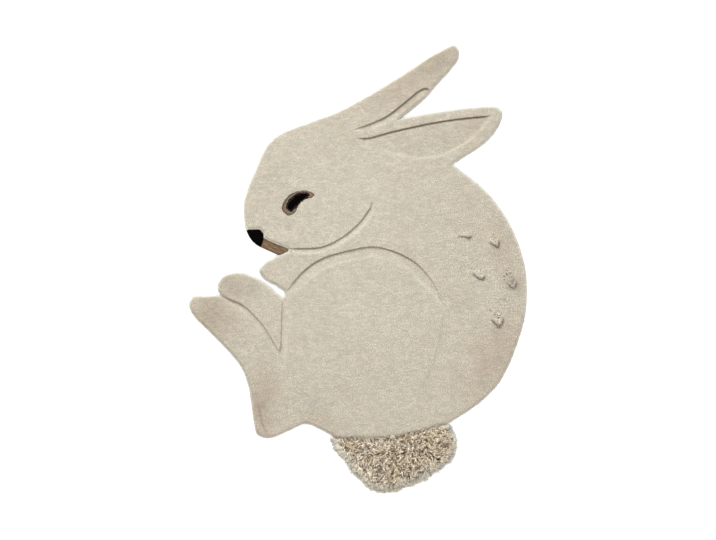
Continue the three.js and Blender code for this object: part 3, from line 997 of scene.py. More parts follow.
def tube_pattern(sections, sides):
    """The triangles of one closed tube. Its root and its tip are the last two points."""
    pattern = []
    for section in range(sections - 1):
        for i in range(sides):
            a, b = section * sides + i, section * sides + (i + 1) % sides
            pattern += [(a, b, b + sides), (a, b + sides, a + sides)]
    last = (sections - 1) * sides
    for i in range(sides):
        pattern.append((sections * sides, (i + 1) % sides, i))
        pattern.append((sections * sides + 1, last + i, last + (i + 1) % sides))
    return pattern


def strands(paths, widths, depth, sides=4, twist=0.0):
    """Closed tubes along paths of shape (yarns, sections, 3).

    Returns their points, their faces, each point's depth and how many points one tube has.
    """
    count, sections, _ = paths.shape
    way = np.gradient(paths, axis=1)
    way /= np.linalg.norm(way, axis=2)[:, :, None] + 1e-12
    up = np.zeros_like(way)
    up[:, :, 2] = 1
    side = np.cross(way, up)
    weak = np.linalg.norm(side, axis=2) < 0.2
    side[weak] = np.cross(way[weak], [0.6, 0.8, 0])
    side /= np.linalg.norm(side, axis=2)[:, :, None] + 1e-12
    for section in range(1, sections):
        flipped = (side[:, section] * side[:, section - 1]).sum(1) < 0
        side[flipped, section] *= -1
    other = np.cross(side, way)
    angle = np.arange(sides) * 2 * math.pi / sides + math.pi / sides
    spin = np.arange(sections)[:, None] * twist + angle[None, :]
    half = widths[:, :, None, None] / 2
    ring = (
        paths[:, :, None, :]
        + side[:, :, None, :] * np.cos(spin)[None, :, :, None] * half
        + other[:, :, None, :] * np.sin(spin)[None, :, :, None] * half
    )
    root = paths[:, :1, None, :] - way[:, :1, None, :] * half[:, :1] * 0.5
    tip = paths[:, -1:, None, :] + way[:, -1:, None, :] * half[:, -1:] * 0.9
    parts = [part.reshape(count, -1, 3) for part in (ring, root, tip)]
    points = np.concatenate(parts, axis=1).reshape(-1, 3)
    points[:, 2] = np.maximum(points[:, 2], FLOOR_CLEAR)
    size = sections * sides + 2
    faces = outward(repeated(tube_pattern(sections, sides), count, size), points)
    return points, faces, spread(depth, sides), size


def outward(faces, points):
    """Faces turned so that most of a closed body's volume counts as positive."""
    a, b, c = (points[faces[:, i]] for i in range(3))
    volume = (a * np.cross(b, c)).sum()
    return faces if volume > 0 else faces[:, ::-1]


def rim_loop(surface):
    """The rug's outer rim, as points in order."""
    follow = {}
    for edge in surface.rim:
        a, b = edge.verts
        follow.setdefault(a.index, []).append(b.index)
        follow.setdefault(b.index, []).append(a.index)
    best, left = [], set(follow)
    while left:
        start = min(left)
        loop, here, before = [start], start, None
        left.discard(start)
        while True:
            ahead = [n for n in follow[here] if n != before and (n in left or n == start)]
            if not ahead or ahead[0] == start:
                break
            before, here = here, ahead[0]
            left.discard(here)
            loop.append(here)
        if len(loop) > len(best):
            best = loop
    return np.array([surface.solid.verts[i].co[:2] for i in best])


def even_places(loop, gap):
    """Places at even distances round a closed outline, with their outward normals."""
    closed = np.vstack([loop, loop[:1]])
    steps = np.linalg.norm(np.diff(closed, axis=0), axis=1)
    reach = np.concatenate([[0], np.cumsum(steps)])
    at = np.arange(0, reach[-1], gap)
    place = np.column_stack([np.interp(at, reach, closed[:, i]) for i in range(2)])
    way = np.roll(place, -2, axis=0) - np.roll(place, 2, axis=0)
    way /= np.linalg.norm(way, axis=1)[:, None]
    area = (closed[:-1, 0] * closed[1:, 1] - closed[1:, 0] * closed[:-1, 1]).sum()
    normal = np.column_stack([way[:, 1], -way[:, 0]]) * (1 if area > 0 else -1)
    return place, normal


# The rim's two rows of upright yarns. From root to top: height, how far out of the outline, share of the
# width and of the painted highlight. Then how dark the painted shade of the row is where the tail joins on
RIM_ROWS = table(
    "z out width lit join",
    ((1.6, 5.5, 9.5, 11.4), (-1.0, 0.1, -0.1, -1.3), (0.75, 1.0, 1.0, 0.6), (0.1, 0.2, 0.6, 1.0), 1.0),
    ((4.0, 8.0, 11.6, 13.6), (-1.6, -0.6, -1.7, -3.4), (0.8, 1.0, 1.0, 0.6), (0.1, 0.4, 1.0, 1.0), 0.4),
)


def beside_tail(x, y):
    """How near each place of the body's rim is to the tail: 1 where the tail joins on."""
    return ramp(-y, 375 * MM, 392 * MM) * ramp(x, -76 * MM, -68 * MM) * ramp(-x, -208 * MM, -198 * MM)


def build_rim(surface):
    """The yarns that stand upright round the rim and lean out."""
    sizes = pile_sizes()
    random = np.random.default_rng(sizes.seed + 2)
    outline = rim_loop(surface)
    joined = MeshParts()
    for row in RIM_ROWS:
        place, normal = even_places(outline, sizes.rim_gap)
        count = len(place)
        place = place + random.normal(0, 0.18, (count, 2)) * sizes.rim_gap
        lean = random.normal(0, 0.35, count) * MM
        along = np.column_stack([-normal[:, 1], normal[:, 0]])
        sway = random.normal(0, 0.7, count) * MM
        sections = []
        for i, (z, out) in enumerate(zip(row["z"], row["out"])):
            share = i / (len(row["z"]) - 1)
            flat = place + normal * (out * MM + lean * share)[:, None] + along * (sway * share)[:, None]
            sections.append(np.column_stack([flat, (z + random.normal(0, 0.25, count)) * MM]))
        widths = sizes.rim_width * np.array(row["width"]) * random.uniform(0.85, 1.15, (count, 1))
        # Painted shade toward each yarn's root
        depth = np.tile(np.linspace(0.7, 0.05, len(row["z"])), (count, 1))
        points, faces, depth, size = strands(np.stack(sections, axis=1), widths, depth)
        x, y = place.T
        tone = wisps(x, y) + random.normal(0, 0.5, count)
        values = wool_values(x, y, tone, depth, size)
        # The painted highlight is kept to each yarn's upper part
        values["zone_shade"] = values["zone_shade"] * spread(np.tile(row["lit"], (count, 1)))
        # Painted shade where the tail joins on
        broken = 0.6 + 0.5 * cloud(x, y, 12 * MM, 12 * MM, 48)
        join = np.repeat(row["join"] * broken * beside_tail(x, y), size)
        values["painted_shade"] = np.maximum(values["painted_shade"], join)
        joined.add(points, faces, values)
    points, faces, values = joined.together()
    return new_mesh("pile_rim", uneven(points), faces, values)


# Nose, mouth and eye

BLACK_SPREAD = 2.6 * MM  # how far the pupil's black spreads over the brown ends beside it


def build_set_in(name, node):
    """Pile of another colour: its block under a close field of yarn ends, with painted shade where the field
    meets it.
    """
    sizes = pile_sizes()
    surface = Surface(node)
    random = np.random.default_rng(sizes.seed + len(name))
    x, y, z, normal = ends_on(surface, SET_IN_STEEPEST, *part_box(node), SET_IN_TIGHTER, random)
    rise = sizes.end_rise * (1 + random.normal(0, 0.5, len(x)))
    rows = cloud(0.9 * x - 0.44 * y, 0.44 * x + 0.9 * y, 16 * MM, 3.4 * MM, 44)
    tone = 0.4 * wisps(x, y) + 1.5 * rows + random.normal(0, 0.5, len(x))
    ends, faces, depth = yarn_ends(x, y, z, normal, sizes.end_width * 0.92, rise, random)
    values = wool_values(x, y, tone, depth, END_POINTS)
    from_pupil = near_line(x, y, PUPIL_OUTLINE + PUPIL_OUTLINE[:1])
    beside_black = inside_outline(x, y, PUPIL_OUTLINE) | (from_pupil < BLACK_SPREAD)
    # Painted shade along the edge where the higher field meets it, kept off the black
    edge = fade(surface.border.at(x, y)[0], 3.9 * MM) * ramp(from_pupil, 2 * MM, 5 * MM)
    wools = SET_IN[name]["wools"]
    meets_field = wools[0] != "black"
    values["painted_shade"] = np.repeat(0.85 * edge * ~beside_black * meets_field, END_POINTS)
    values["zone_shade"] = np.repeat(-0.8 * fade(from_pupil, 3 * MM), END_POINTS)
    values["zone_tan"] = np.repeat(ramp(x, -137 * MM, -127 * MM), END_POINTS)

    block, sides = solid_mesh(surface.solid)
    surface.solid.free()
    block[block[:, 2] > BACKING_TOP * 2, 2] -= sizes.base_sink
    plain = {key: np.zeros(len(block)) for key in values}
    plain["yarn_depth_shade"] = np.full(len(block), 0.9)
    joined = MeshParts()
    joined.add(block, sides, plain)
    joined.add(ends, faces, values)
    points, faces, values = joined.together()
    made = new_mesh(name, uneven(points), faces, values)
    if len(wools) > 1:
        black = np.concatenate([np.zeros(len(sides), bool), np.repeat(beside_black, END_SIDES * 2)])
        made.data.polygons.foreach_set("material_index", black.astype(np.int32))
    return made


# The tufts on the back

# An overhanging yarn from its root to its tip: its share of the width, how much painted shade it has for
# lying deep, its painted shadow
OVERHANG = {
    "width": (0.9, 1.0, 1.1, 1.0, 0.6),
    "depth": (0.6, 0.3, 0.1, 0.05, 0.3),
    "shadow": (0.1, 0.25, 0.45, 0.7, 0.95),
}


def lower_edge(tuft):
    """The overhanging part of a tuft's lobe, in millimetres."""
    return tuft["lobe"][: tuft["edge"]]


def tuft_height(tuft, x, y):
    """Height of a tuft's top: level with the field above the lobe, highest at its lower edge."""
    rise = bpy.context.scene.rug_tufts.rise
    lobe = tuft["lobe"]
    from_edge = near_line(x, y, lower_edge(tuft))
    from_back = near_line(x, y, lobe[tuft["edge"] - 1 :] + lobe[:1])
    share = from_back / (from_back + from_edge + 1e-6)
    return PILE_TOP + rise * tuft["height"] * inside_outline(x, y, lobe) * ramp(share, 0.1, 0.95)


def tuft_block(tuft, block, sides):
    """The solid's own block, lowered so that it stays below the yarn."""
    x, y, z = block.T
    raised = z > BACKING_TOP * 2
    top = tuft_height(tuft, x, y) - 1.5 * MM
    values = wool_values(x, y, np.zeros(len(block)), np.full(len(block), BASE_DEPTH))
    block[raised, 2] = np.minimum(z[raised], top[raised])
    return block, sides, values


def tuft_ends(tuft, low, high, tree, random):
    """The yarn ends over a tuft's rising lobe."""
    pile = pile_sizes()
    x, y = lattice(low, high, pile.end_gap * 0.9, pile.row_gap * 0.9, 0.3, random)
    above = np.array([tree.ray_cast(Vector((a, b, 1)), DOWN)[0] is not None for a, b in zip(x, y)])
    x, y = x[above], y[above]
    z = tuft_height(tuft, x, y)
    step = 1.5 * MM
    slope_x = (tuft_height(tuft, x + step, y) - tuft_height(tuft, x - step, y)) / (2 * step)
    slope_y = (tuft_height(tuft, x, y + step) - tuft_height(tuft, x, y - step)) / (2 * step)
    normal = np.column_stack([-np.clip(slope_x, -1, 1), -np.clip(slope_y, -1, 1), np.ones(len(x))])
    wisp = wisps(x, y)
    rise = end_rises(wisp, random) + random.uniform(0, 0.5, len(x)) * MM
    points, faces, depth = yarn_ends(x, y, z, normal, pile.end_width, rise, random)
    tone = 1.6 * wisp + random.normal(-0.2, 0.9, len(x))
    values = wool_values(x, y, tone, depth, END_POINTS)
    # Painted shade inside the lobe along its lower edge
    from_edge = near_line(x, y, lower_edge(tuft))
    shaded = 0.75 * fade(from_edge, 3.6 * MM) * inside_outline(x, y, tuft["lobe"])
    values["painted_shade"] = np.maximum(values["painted_shade"], np.repeat(shaded, END_POINTS))
    return points, faces, values


def tuft_overhang(tuft, random):
    """The longer yarns that hang over a tuft's lower edge."""
    sizes = bpy.context.scene.rug_tufts
    count = sizes.yarns
    lobe = np.array(tuft["lobe"]) * MM
    edge = lobe[: tuft["edge"]]
    back = lobe[tuft["edge"] :].mean(axis=0)
    steps = np.concatenate([[0], np.cumsum(np.linalg.norm(np.diff(edge, axis=0), axis=1))])
    at = (np.arange(count) + random.random(count)) / count * steps[-1]
    tip = np.column_stack([np.interp(at, steps, edge[:, i]) for i in range(2)])
    inward = back - tip
    inward /= np.linalg.norm(inward, axis=1)[:, None]
    long = random.uniform(4, 9, count) * MM
    over = random.uniform(-1.8, 0.6, count) * MM
    sway = random.normal(0, 0.7, (count, 2)) * MM
    tallest = sizes.rise * tuft["height"] + 2.2 * MM
    sections = []
    for share in np.linspace(0, 1, len(OVERHANG["width"])):
        flat = tip + inward * (long * (1 - share) - over * share)[:, None] + sway * share
        height = PILE_TOP - 2 * MM + tallest * math.sin(share * math.pi / 2) ** 0.8
        height += random.normal(0, 0.5, count) * MM - 2.2 * MM * share**4
        sections.append(np.column_stack([flat, height]))
    widths = sizes.yarn_width * np.array(OVERHANG["width"]) * random.uniform(0.85, 1.15, (count, 1))
    depth = np.tile(OVERHANG["depth"], (count, 1))
    points, faces, depth, size = strands(np.stack(sections, axis=1), widths, depth)
    values = wool_values(tip[:, 0], tip[:, 1], random.normal(0, 0.6, count), depth, size)
    values["painted_shade"] = spread(np.array(OVERHANG["shadow"]) * random.uniform(0.45, 1.15, (count, 1)))
    return points, faces, values


def build_tuft(number, tuft):
    """One tuft: yarn ends over its rising lobe, and longer yarns that hang over the lobe's lower edge."""
    random = np.random.default_rng(bpy.context.scene.rug_tufts.seed + number)
    node = f"back_tuft_{number}"
    solid = merged_node(node)
    block, sides = solid_mesh(solid)
    tree = BVHTree.FromBMesh(solid)
    solid.free()
    joined = MeshParts()
    joined.add(*tuft_block(tuft, block, sides))
    joined.add(*tuft_ends(tuft, *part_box(node), tree, random))
    joined.add(*tuft_overhang(tuft, random))
    points, faces, values = joined.together()
    return new_mesh(f"tuft_yarn_{number}", points, faces, values)


# The tail

class Mound:
    """A smoothed map of the tail's height, from its solid."""

    def __init__(self, node, cell=6 * MM, softness=3):
        solid = merged_node(node)
        tree = BVHTree.FromBMesh(solid)
        solid.free()
        low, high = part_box(node)
        self.low, self.cell = low, cell
        columns = math.ceil((high.x - low.x) / cell) + 1
        rows = math.ceil((high.y - low.y) / cell) + 1
        heights = np.zeros((rows, columns))
        for row in range(rows):
            for column in range(columns):
                above = Vector((low.x + column * cell, low.y + row * cell, 1))
                hit = tree.ray_cast(above, DOWN)[0]
                heights[row, column] = hit.z if hit is not None else 0
        for column in range(columns):
            filled = np.flatnonzero(heights[:, column])
            if len(filled):
                heights[filled[-1] :, column] = heights[filled[-1], column]
        for _ in range(softness):
            padded = np.pad(heights, 1, mode="edge")
            heights = (
                padded[:-2, 1:-1] + padded[2:, 1:-1] + padded[1:-1, :-2] + padded[1:-1, 2:]
                + 2 * padded[1:-1, 1:-1]
            ) / 6
        self.heights = heights

    def at(self, x, y):
        """The map's height at each place."""
        rows, columns = self.heights.shape
        u = np.clip((x - self.low.x) / self.cell, 0, columns - 1.001)
        v = np.clip((y - self.low.y) / self.cell, 0, rows - 1.001)
        i, j = u.astype(int), v.astype(int)
        u, v = u - i, v - j
        low = self.heights[j, i] * (1 - u) + self.heights[j, i + 1] * u
        high = self.heights[j + 1, i] * (1 - u) + self.heights[j + 1, i + 1] * u
        return low * (1 - v) + high * v


TAIL_STRIDES = (0, 0.7, 1.0, 1.15, 1.15)  # how far a yarn goes from each of its sections to the next
TAIL_SECTIONS = len(TAIL_STRIDES)
TAIL_SIDES = 3
BODY_SIDE_YARNS = 560  # how many of the thick yarns stand along the rim of the rug's body
RIM_SIDE_YARNS = 620  # how many of them lie along the tail's own rim
RIM_SIDE = slice(BODY_SIDE_YARNS, BODY_SIDE_YARNS + RIM_SIDE_YARNS)
OVER_BODY = [(-18, 14), (72, 114), (126, 176)]  # where they lie over the body's rim, from x to x in mm
TAIL_HEART = (60, -395)  # the place that the tail's rim is measured from
BED_VOXEL = 4.5 * MM
BED_SINK = 6.5 * MM  # how far the bed's top lies below the solid's
BED_INSIDE = 5 * MM  # how far it ends inside the tail's rim
BODY_SIDE_GROUND = PILE_TOP + 5.5 * MM  # the least height that yarns lie over beside the body
LOCK_SINK = 2.5 * MM  # how far the gaps between locks lie lower
TAIL_RIM_LIGHT = 4.0  # how bright the painted highlight on the yarn is at the tail's rim
TAIL_RIM_REACH = 7.5 * MM


class TailShape:
    """Where the tail's yarns may lie: its mound, its rim and the edge of the rug's body."""

    def __init__(self):
        solid = merged_node("tail_shag")
        self.tree = BVHTree.FromBMesh(solid)
        solid.free()
        self.mound = Mound("tail_shag")
        self.low, self.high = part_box("tail_shag")
        self.heart = np.array(TAIL_HEART) * MM
        self.turns = np.radians(np.arange(-172, 8, 0.5))
        reaches = np.array([self.reach(turn) for turn in self.turns])
        met = reaches > 100 * MM
        reaches = np.interp(self.turns, self.turns[met], reaches[met])
        self.reaches = np.convolve(np.pad(reaches, 8, mode="edge"), np.full(17, 1 / 17), mode="valid")
        rim = rim_loop(rug_surface())
        near = rim[(rim[:, 1] < -380 * MM) & (rim[:, 0] > -130 * MM) & (rim[:, 0] < 290 * MM)]
        self.body_edge = near[np.argsort(near[:, 0])]

    def border(self, side):
        """The turns of the rim's table, and how far yarns end inside or past the rim, in millimetres."""
        return [row["turn"] for row in TAIL_BORDER], [row[side] for row in TAIL_BORDER]

    def reach(self, turn):
        """How far the tail reaches from its heart in one direction."""
        for step in np.arange(260, 20, -1) * MM:
            place = Vector((self.heart[0] + math.cos(turn) * step, self.heart[1] + math.sin(turn) * step, 1))
            if self.tree.ray_cast(place, DOWN)[0] is not None:
                return step
        return 0.0

    def scatter(self, count, random):
        """Random places on the tail."""
        x = random.uniform(self.low.x, self.high.x, count * 3)
        y = random.uniform(self.low.y, self.high.y, count * 3)
        good = [self.tree.ray_cast(Vector((a, b, 1)), DOWN)[0] is not None for a, b in zip(x, y)]
        return x[good][:count], y[good][:count]

    def around(self, x, y):
        """The direction of each place from the heart, and the rim's reach there."""
        turn = np.arctan2(y - self.heart[1], x - self.heart[0])
        turn = np.where(turn > math.pi / 2, turn - 2 * math.pi, turn)
        return turn, np.interp(turn, self.turns, self.reaches)

    def edge_at(self, x):
        """How far up the edge of the rug's body lies at each x."""
        return np.interp(x, *self.body_edge.T)

    def keep_inside(self, flat, past_rim, past_body):
        """Places of shape (yarns, sections, 2), moved so that no yarn goes past the rim or over the body."""
        for _ in range(2):
            x, y = flat[:, :, 0], flat[:, :, 1]
            flat[:, :, 1] -= np.maximum(0, (y - self.edge_at(x)).max(axis=1) - past_body)[:, None]
            _, reach = self.around(flat[:, :, 0], flat[:, :, 1])
            out = flat - self.heart
            far = np.linalg.norm(out, axis=2)
            over = np.maximum(0, (far - reach).max(axis=1) - past_rim)
            flat = flat - out / far[:, :, None] * over[:, None, None]
        return flat


def build_tail_bed(shape):
    """The tail's body below its long yarns, with the lumps of the solid and a close pile in painted shade,
    less of it beside the body.
    """
    bed = bpy.data.objects.new("tail_bed", frame["nodes"]["tail_shag"].data.copy())
    bpy.context.scene.collection.objects.link(bed)
    bed.data.materials.clear()
    remesh = bed.modifiers.new("Even faces", "REMESH")
    remesh.mode = "VOXEL"
    remesh.voxel_size = BED_VOXEL
    bed.modifiers.new("Calm", "SMOOTH").iterations = 6
    ready = bpy.data.meshes.new_from_object(bed.evaluated_get(bpy.context.evaluated_depsgraph_get()))
    bed.modifiers.clear()
    bed.data = ready
    points = mesh_points(ready)
    x, y, z = points.T
    points[:, 2] = np.clip(z - BED_SINK * ramp(z, 5 * MM, 20 * MM), FLOOR_CLEAR, None)
    points[:, 2] += 1.2 * MM * cloud(x, y, 14 * MM, 12 * MM, 71) * ramp(z, 8 * MM, 20 * MM)
    beside_body = fade(shape.edge_at(x) - y, 7 * MM)
    _, reach = shape.around(x, y)
    out = points[:, :2] - shape.heart
    far = np.linalg.norm(out, axis=1)
    points[:, :2] -= out / far[:, None] * np.maximum(0, far - reach + BED_INSIDE)[:, None]
    set_points(ready, points)
    for face in ready.polygons:
        face.use_smooth = True
    tone = cloud(x, y, 5 * MM, 5 * MM, 72) * 0.6
    # Painted shade on the bed below the yarns, less of it beside the body
    add_floats(ready, {"yarn_tone": tone, "yarn_depth_shade": 0.95 - 0.55 * beside_body})
    return bed


# The thick yarns by how far they start from the tail's heart, as a share of the way to the rim: how
# loosely they point and how far they swirl
LOOSENESS = {"out": (0.4, 0.75, 1.0), "loose": (0.9, 0.65, 0.4), "swirl": (2.6, 1.8, 0.4)}
OVER_SHARES = (0.6, 0.03)  # how many yarns lie over the body's rim, inside those stretches and elsewhere


def tail_roots(shape, count, random):
    """Where the thick yarns start: first those beside the body, then those beside the rim, then the rest."""
    x, y = shape.scatter(count, random)
    beside = BODY_SIDE_YARNS
    x[:beside] = random.uniform(shape.low.x + 12 * MM, shape.high.x - 26 * MM, beside)
    y[:beside] = shape.edge_at(x[:beside]) - random.uniform(5, 13, beside) * MM
    around = np.radians(random.uniform(-132, -14, RIM_SIDE_YARNS))
    start = np.interp(around, shape.turns, shape.reaches) - random.uniform(6, 17, RIM_SIDE_YARNS) * MM
    x[RIM_SIDE] = shape.heart[0] + np.cos(around) * start
    y[RIM_SIDE] = shape.heart[1] + np.sin(around) * start
    return x, y, around


def build_tail_yarns(shape):
    """The tail's thick curled yarns, which lie every way over each other."""
    sizes = bpy.context.scene.rug_tail
    random = np.random.default_rng(sizes.seed)
    x, y, around = tail_roots(shape, sizes.yarns, random)
    count = len(x)
    turn, reach = shape.around(x, y)
    out = np.linalg.norm(np.column_stack([x, y]) - shape.heart, axis=1) / reach
    loose = np.interp(out, LOOSENESS["out"], LOOSENESS["loose"])
    swirl = np.interp(out, LOOSENESS["out"], LOOSENESS["swirl"]) * cloud(x, y, 24 * MM, 20 * MM, 61)
    angle = turn + swirl + random.normal(0, 1, count) * loose
    angle[:BODY_SIDE_YARNS] = math.pi / 2 + random.normal(0, 0.8, BODY_SIDE_YARNS)
    angle[RIM_SIDE] = around + random.normal(0, 0.35, RIM_SIDE_YARNS)
    long = sizes.yarn_length * random.uniform(0.6, 1.25, count)
    bend = sizes.curl * random.normal(0, 1.0, count)
    bend[RIM_SIDE] *= 0.5
    inside = np.interp(np.degrees(turn), *shape.border("inside"))
    past_rim = random.normal(-2.5, 2.6, count) * MM - inside * MM
    past_body = random.uniform(-3.0, 0.3, count) * MM
    over = np.any([(x > low * MM) & (x < high * MM) for low, high in OVER_BODY], axis=0)
    bold = (random.random(count) < np.where(over, *OVER_SHARES)) & (np.arange(count) < BODY_SIDE_YARNS)
    past_body[bold] = random.uniform(1.5, 8, bold.sum()) * MM
    y[bold] += 5 * MM
    lift = random.uniform(-5.5, 1.5, count) * MM
    facts = {"x": x, "y": y, "angle": angle, "long": long, "bend": bend, "lift": lift}
    # How much painted shade the yarns get where they lie low and in the gaps between locks, and how much less
    # toward their tips
    look = {"width": sizes.yarn_width, "sink": 9 * MM, "dark": 1.0, "locks": 0.88, "pale": 0.0}
    return lay_yarns("tail_yarn", shape, facts, past_rim, past_body, look, random)


FRINGE_TURNS = (-166, 4)  # the part of the tail's rim that has a fringe, in degrees
FRINGE_LONG_ONES = 0.16  # how many of its yarns reach further


def build_fringe(shape):
    """The fine yarns that lie flat round the tail's rim and end on the floor."""
    sizes = bpy.context.scene.rug_tail
    random = np.random.default_rng(sizes.seed + 1)
    count = sizes.fringe_yarns
    turn = np.linspace(*np.radians(FRINGE_TURNS), count) + random.normal(0, 0.01, count)
    past = np.interp(np.degrees(turn), *shape.border("past")) * MM
    reach = np.interp(turn, shape.turns, shape.reaches) + past
    long = sizes.fringe_length * random.uniform(0.7, 1.2, count)
    tip = reach + random.uniform(-9, -1, count) * MM + 1.6 * MM * cloud(turn, turn, 0.07, 0.07, 64)
    long_ones = random.random(count) < FRINGE_LONG_ONES
    tip[long_ones] += random.uniform(3, 7, long_ones.sum()) * MM
    start = tip - long
    x = shape.heart[0] + np.cos(turn) * start
    y = shape.heart[1] + np.sin(turn) * start
    angle = turn + random.normal(0, 0.2, count)
    bend = random.normal(0, 0.35, count)
    lift = random.uniform(-4.5, 0, count) * MM
    facts = {"x": x, "y": y, "angle": angle, "long": long, "bend": bend, "lift": lift}
    # How much painted shade the fine yarns get where they lie low and in the gaps between locks, and how much
    # less toward their tips
    look = {"width": sizes.fringe_width, "sink": 2 * MM, "dark": 0.3, "locks": 0.35, "pale": 0.3}
    return lay_yarns("tail_fringe", shape, facts, past + 5 * MM, -3 * MM, look, random)


def lock_gaps(x, y):
    """How near each place is to a gap between two locks of the tail's yarn, from 0 to 1."""
    wave = cloud(x, y, 7 * MM, 5.5 * MM, 65) + 0.4 * cloud(x, y, 3.5 * MM, 3 * MM, 66)
    return fade(wave, 0.17)


def join_shade(x, below_body):
    """The painted shade of the join between tail and body, over which a few yarns go."""
    shade = 0.85 * fade(below_body, 3.4 * MM) * (0.75 + 0.5 * cloud(x, x, 9 * MM, 9 * MM, 67))
    shade[below_body.min(axis=1) < -1 * MM] *= 0.25
    return shade


def lay_yarns(name, shape, facts, past_rim, past_body, look, random):
    """Lays yarns over the tail. Each starts below its neighbours, comes up, bends over and curls."""
    count = len(facts["x"])
    phase = random.uniform(0, 2 * math.pi, count)[:, None]
    shares = np.linspace(0, 1, TAIL_SECTIONS)
    heading = facts["angle"][:, None] + facts["bend"][:, None] * (shares - 0.3)
    heading = heading + 0.35 * np.sin(phase + shares * 6.0)
    stride = facts["long"][:, None] / (TAIL_SECTIONS - 1) * np.array(TAIL_STRIDES)
    x = facts["x"][:, None] + np.cumsum(np.cos(heading) * stride, axis=1)
    y = facts["y"][:, None] + np.cumsum(np.sin(heading) * stride, axis=1)
    flat = shape.keep_inside(np.stack([x, y], axis=2), past_rim, past_body)
    x, y = flat[:, :, 0], flat[:, :, 1]

    gaps = lock_gaps(x, y)
    below_body = shape.edge_at(x) - y
    ground = np.maximum(shape.mound.at(x, y), BODY_SIDE_GROUND * ramp(-below_body, -18 * MM, -9 * MM))
    bob = 0.9 * MM * np.cos(phase + shares * 8.0)
    climb = -look["sink"] * (1 - shares) ** 2.2 - 2.0 * MM * shares**3
    height = ground + facts["lift"][:, None] + bob + climb - LOCK_SINK * gaps
    lowest = np.where(below_body < 1.5 * MM, PILE_TOP + 0.5 * MM, 0)
    height = np.maximum(height, lowest + look["width"] * 0.5)
    taper = np.interp(shares, [0, 0.15, 0.8, 1], [0.8, 1.0, 1.0, 0.6])
    widths = look["width"] * taper[None, :] * random.uniform(0.8, 1.15, (count, 1))
    # Painted shade where a yarn lies below the mound and toward its root
    low = np.maximum(ramp((ground - height) / MM, 0.5, 12.0), 0.5 * (1 - shares) ** 2)
    depth = look["dark"] * low * (1 - look["pale"] * shares)
    paths = np.concatenate([flat, height[:, :, None]], axis=2)
    points, faces, depth, size = strands(paths, widths, depth, TAIL_SIDES, twist=0.9)

    # Painted highlight toward the tail's rim
    _, reach = shape.around(x, y)
    to_rim = np.maximum(0, reach + 4 * MM - np.hypot(x - shape.heart[0], y - shape.heart[1]))
    tone = random.normal(0, 0.9, count)
    tan = 0.5 - 0.35 * tone + 0.35 * cloud(facts["x"], facts["y"], 30 * MM, 26 * MM, 63)
    # Painted shade in the gaps between locks and at the join with the body
    painted_shade = np.maximum(look["locks"] * gaps, join_shade(x, below_body))
    values = {
        "yarn_tone": np.repeat(tone, size),
        "yarn_depth_shade": depth,
        "zone_tan": np.repeat(tan, size),
        "zone_shade": spread(-TAIL_RIM_LIGHT * fade(to_rim, TAIL_RIM_REACH), TAIL_SIDES),
        "painted_shade": spread(painted_shade, TAIL_SIDES),
    }
    return new_mesh(name, points, faces, values)


# Materials

class Wiring:
    """Adds nodes to a node tree and links them."""

    def __init__(self, tree):
        self.tree = tree

    def node(self, kind, inputs=None, **settings):
        """A new node. Each of its inputs is a value, or another node's socket to link."""
        made = self.tree.nodes.new(kind)
        for key, value in settings.items():
            setattr(made, key, value)
        for key, value in (inputs or {}).items():
            if isinstance(value, bpy.types.NodeSocket):
                self.tree.links.new(value, made.inputs[key])
            else:
                made.inputs[key].default_value = value
        return made

    def math(self, operation, *values, clamp=False):
        made = self.node("ShaderNodeMath", dict(enumerate(values)), operation=operation, use_clamp=clamp)
        return made.outputs[0]

    def noise(self, **inputs):
        """The height of a noise that is fixed to the object."""
        place = self.node("ShaderNodeTexCoord").outputs["Object"]
        return self.node("ShaderNodeTexNoise", {"Vector": place, **inputs}).outputs["Fac"]

    def attribute(self, name):
        return self.node("ShaderNodeAttribute", attribute_name=name).outputs["Fac"]

    def share(self, name):
        """A named value of the mesh, kept between 0 and 1."""
        return self.math("MULTIPLY", self.attribute(name), 1.0, clamp=True)

    def mix(self, share, first, second, blend="MIX"):
        made = self.node(
            "ShaderNodeMix", {0: share, 6: first, 7: second}, data_type="RGBA", blend_type=blend
        )
        return made.outputs[2]


def new_group(name, inputs, outputs):
    """A shader node group with its inputs, as name, kind and value, and its outputs, as name and kind."""
    group = bpy.data.node_groups.new(name, "ShaderNodeTree")
    for label, kind, value in inputs:
        socket = group.interface.new_socket(name=label, in_out="INPUT", socket_type=kind)
        socket.default_value = value
    for label, kind in outputs:
        group.interface.new_socket(name=label, in_out="OUTPUT", socket_type=kind)
    wiring = Wiring(group)
    return group, wiring, wiring.node("NodeGroupInput").outputs, wiring.node("NodeGroupOutput")


def rgba(colour):
    return (*colour, 1.0)


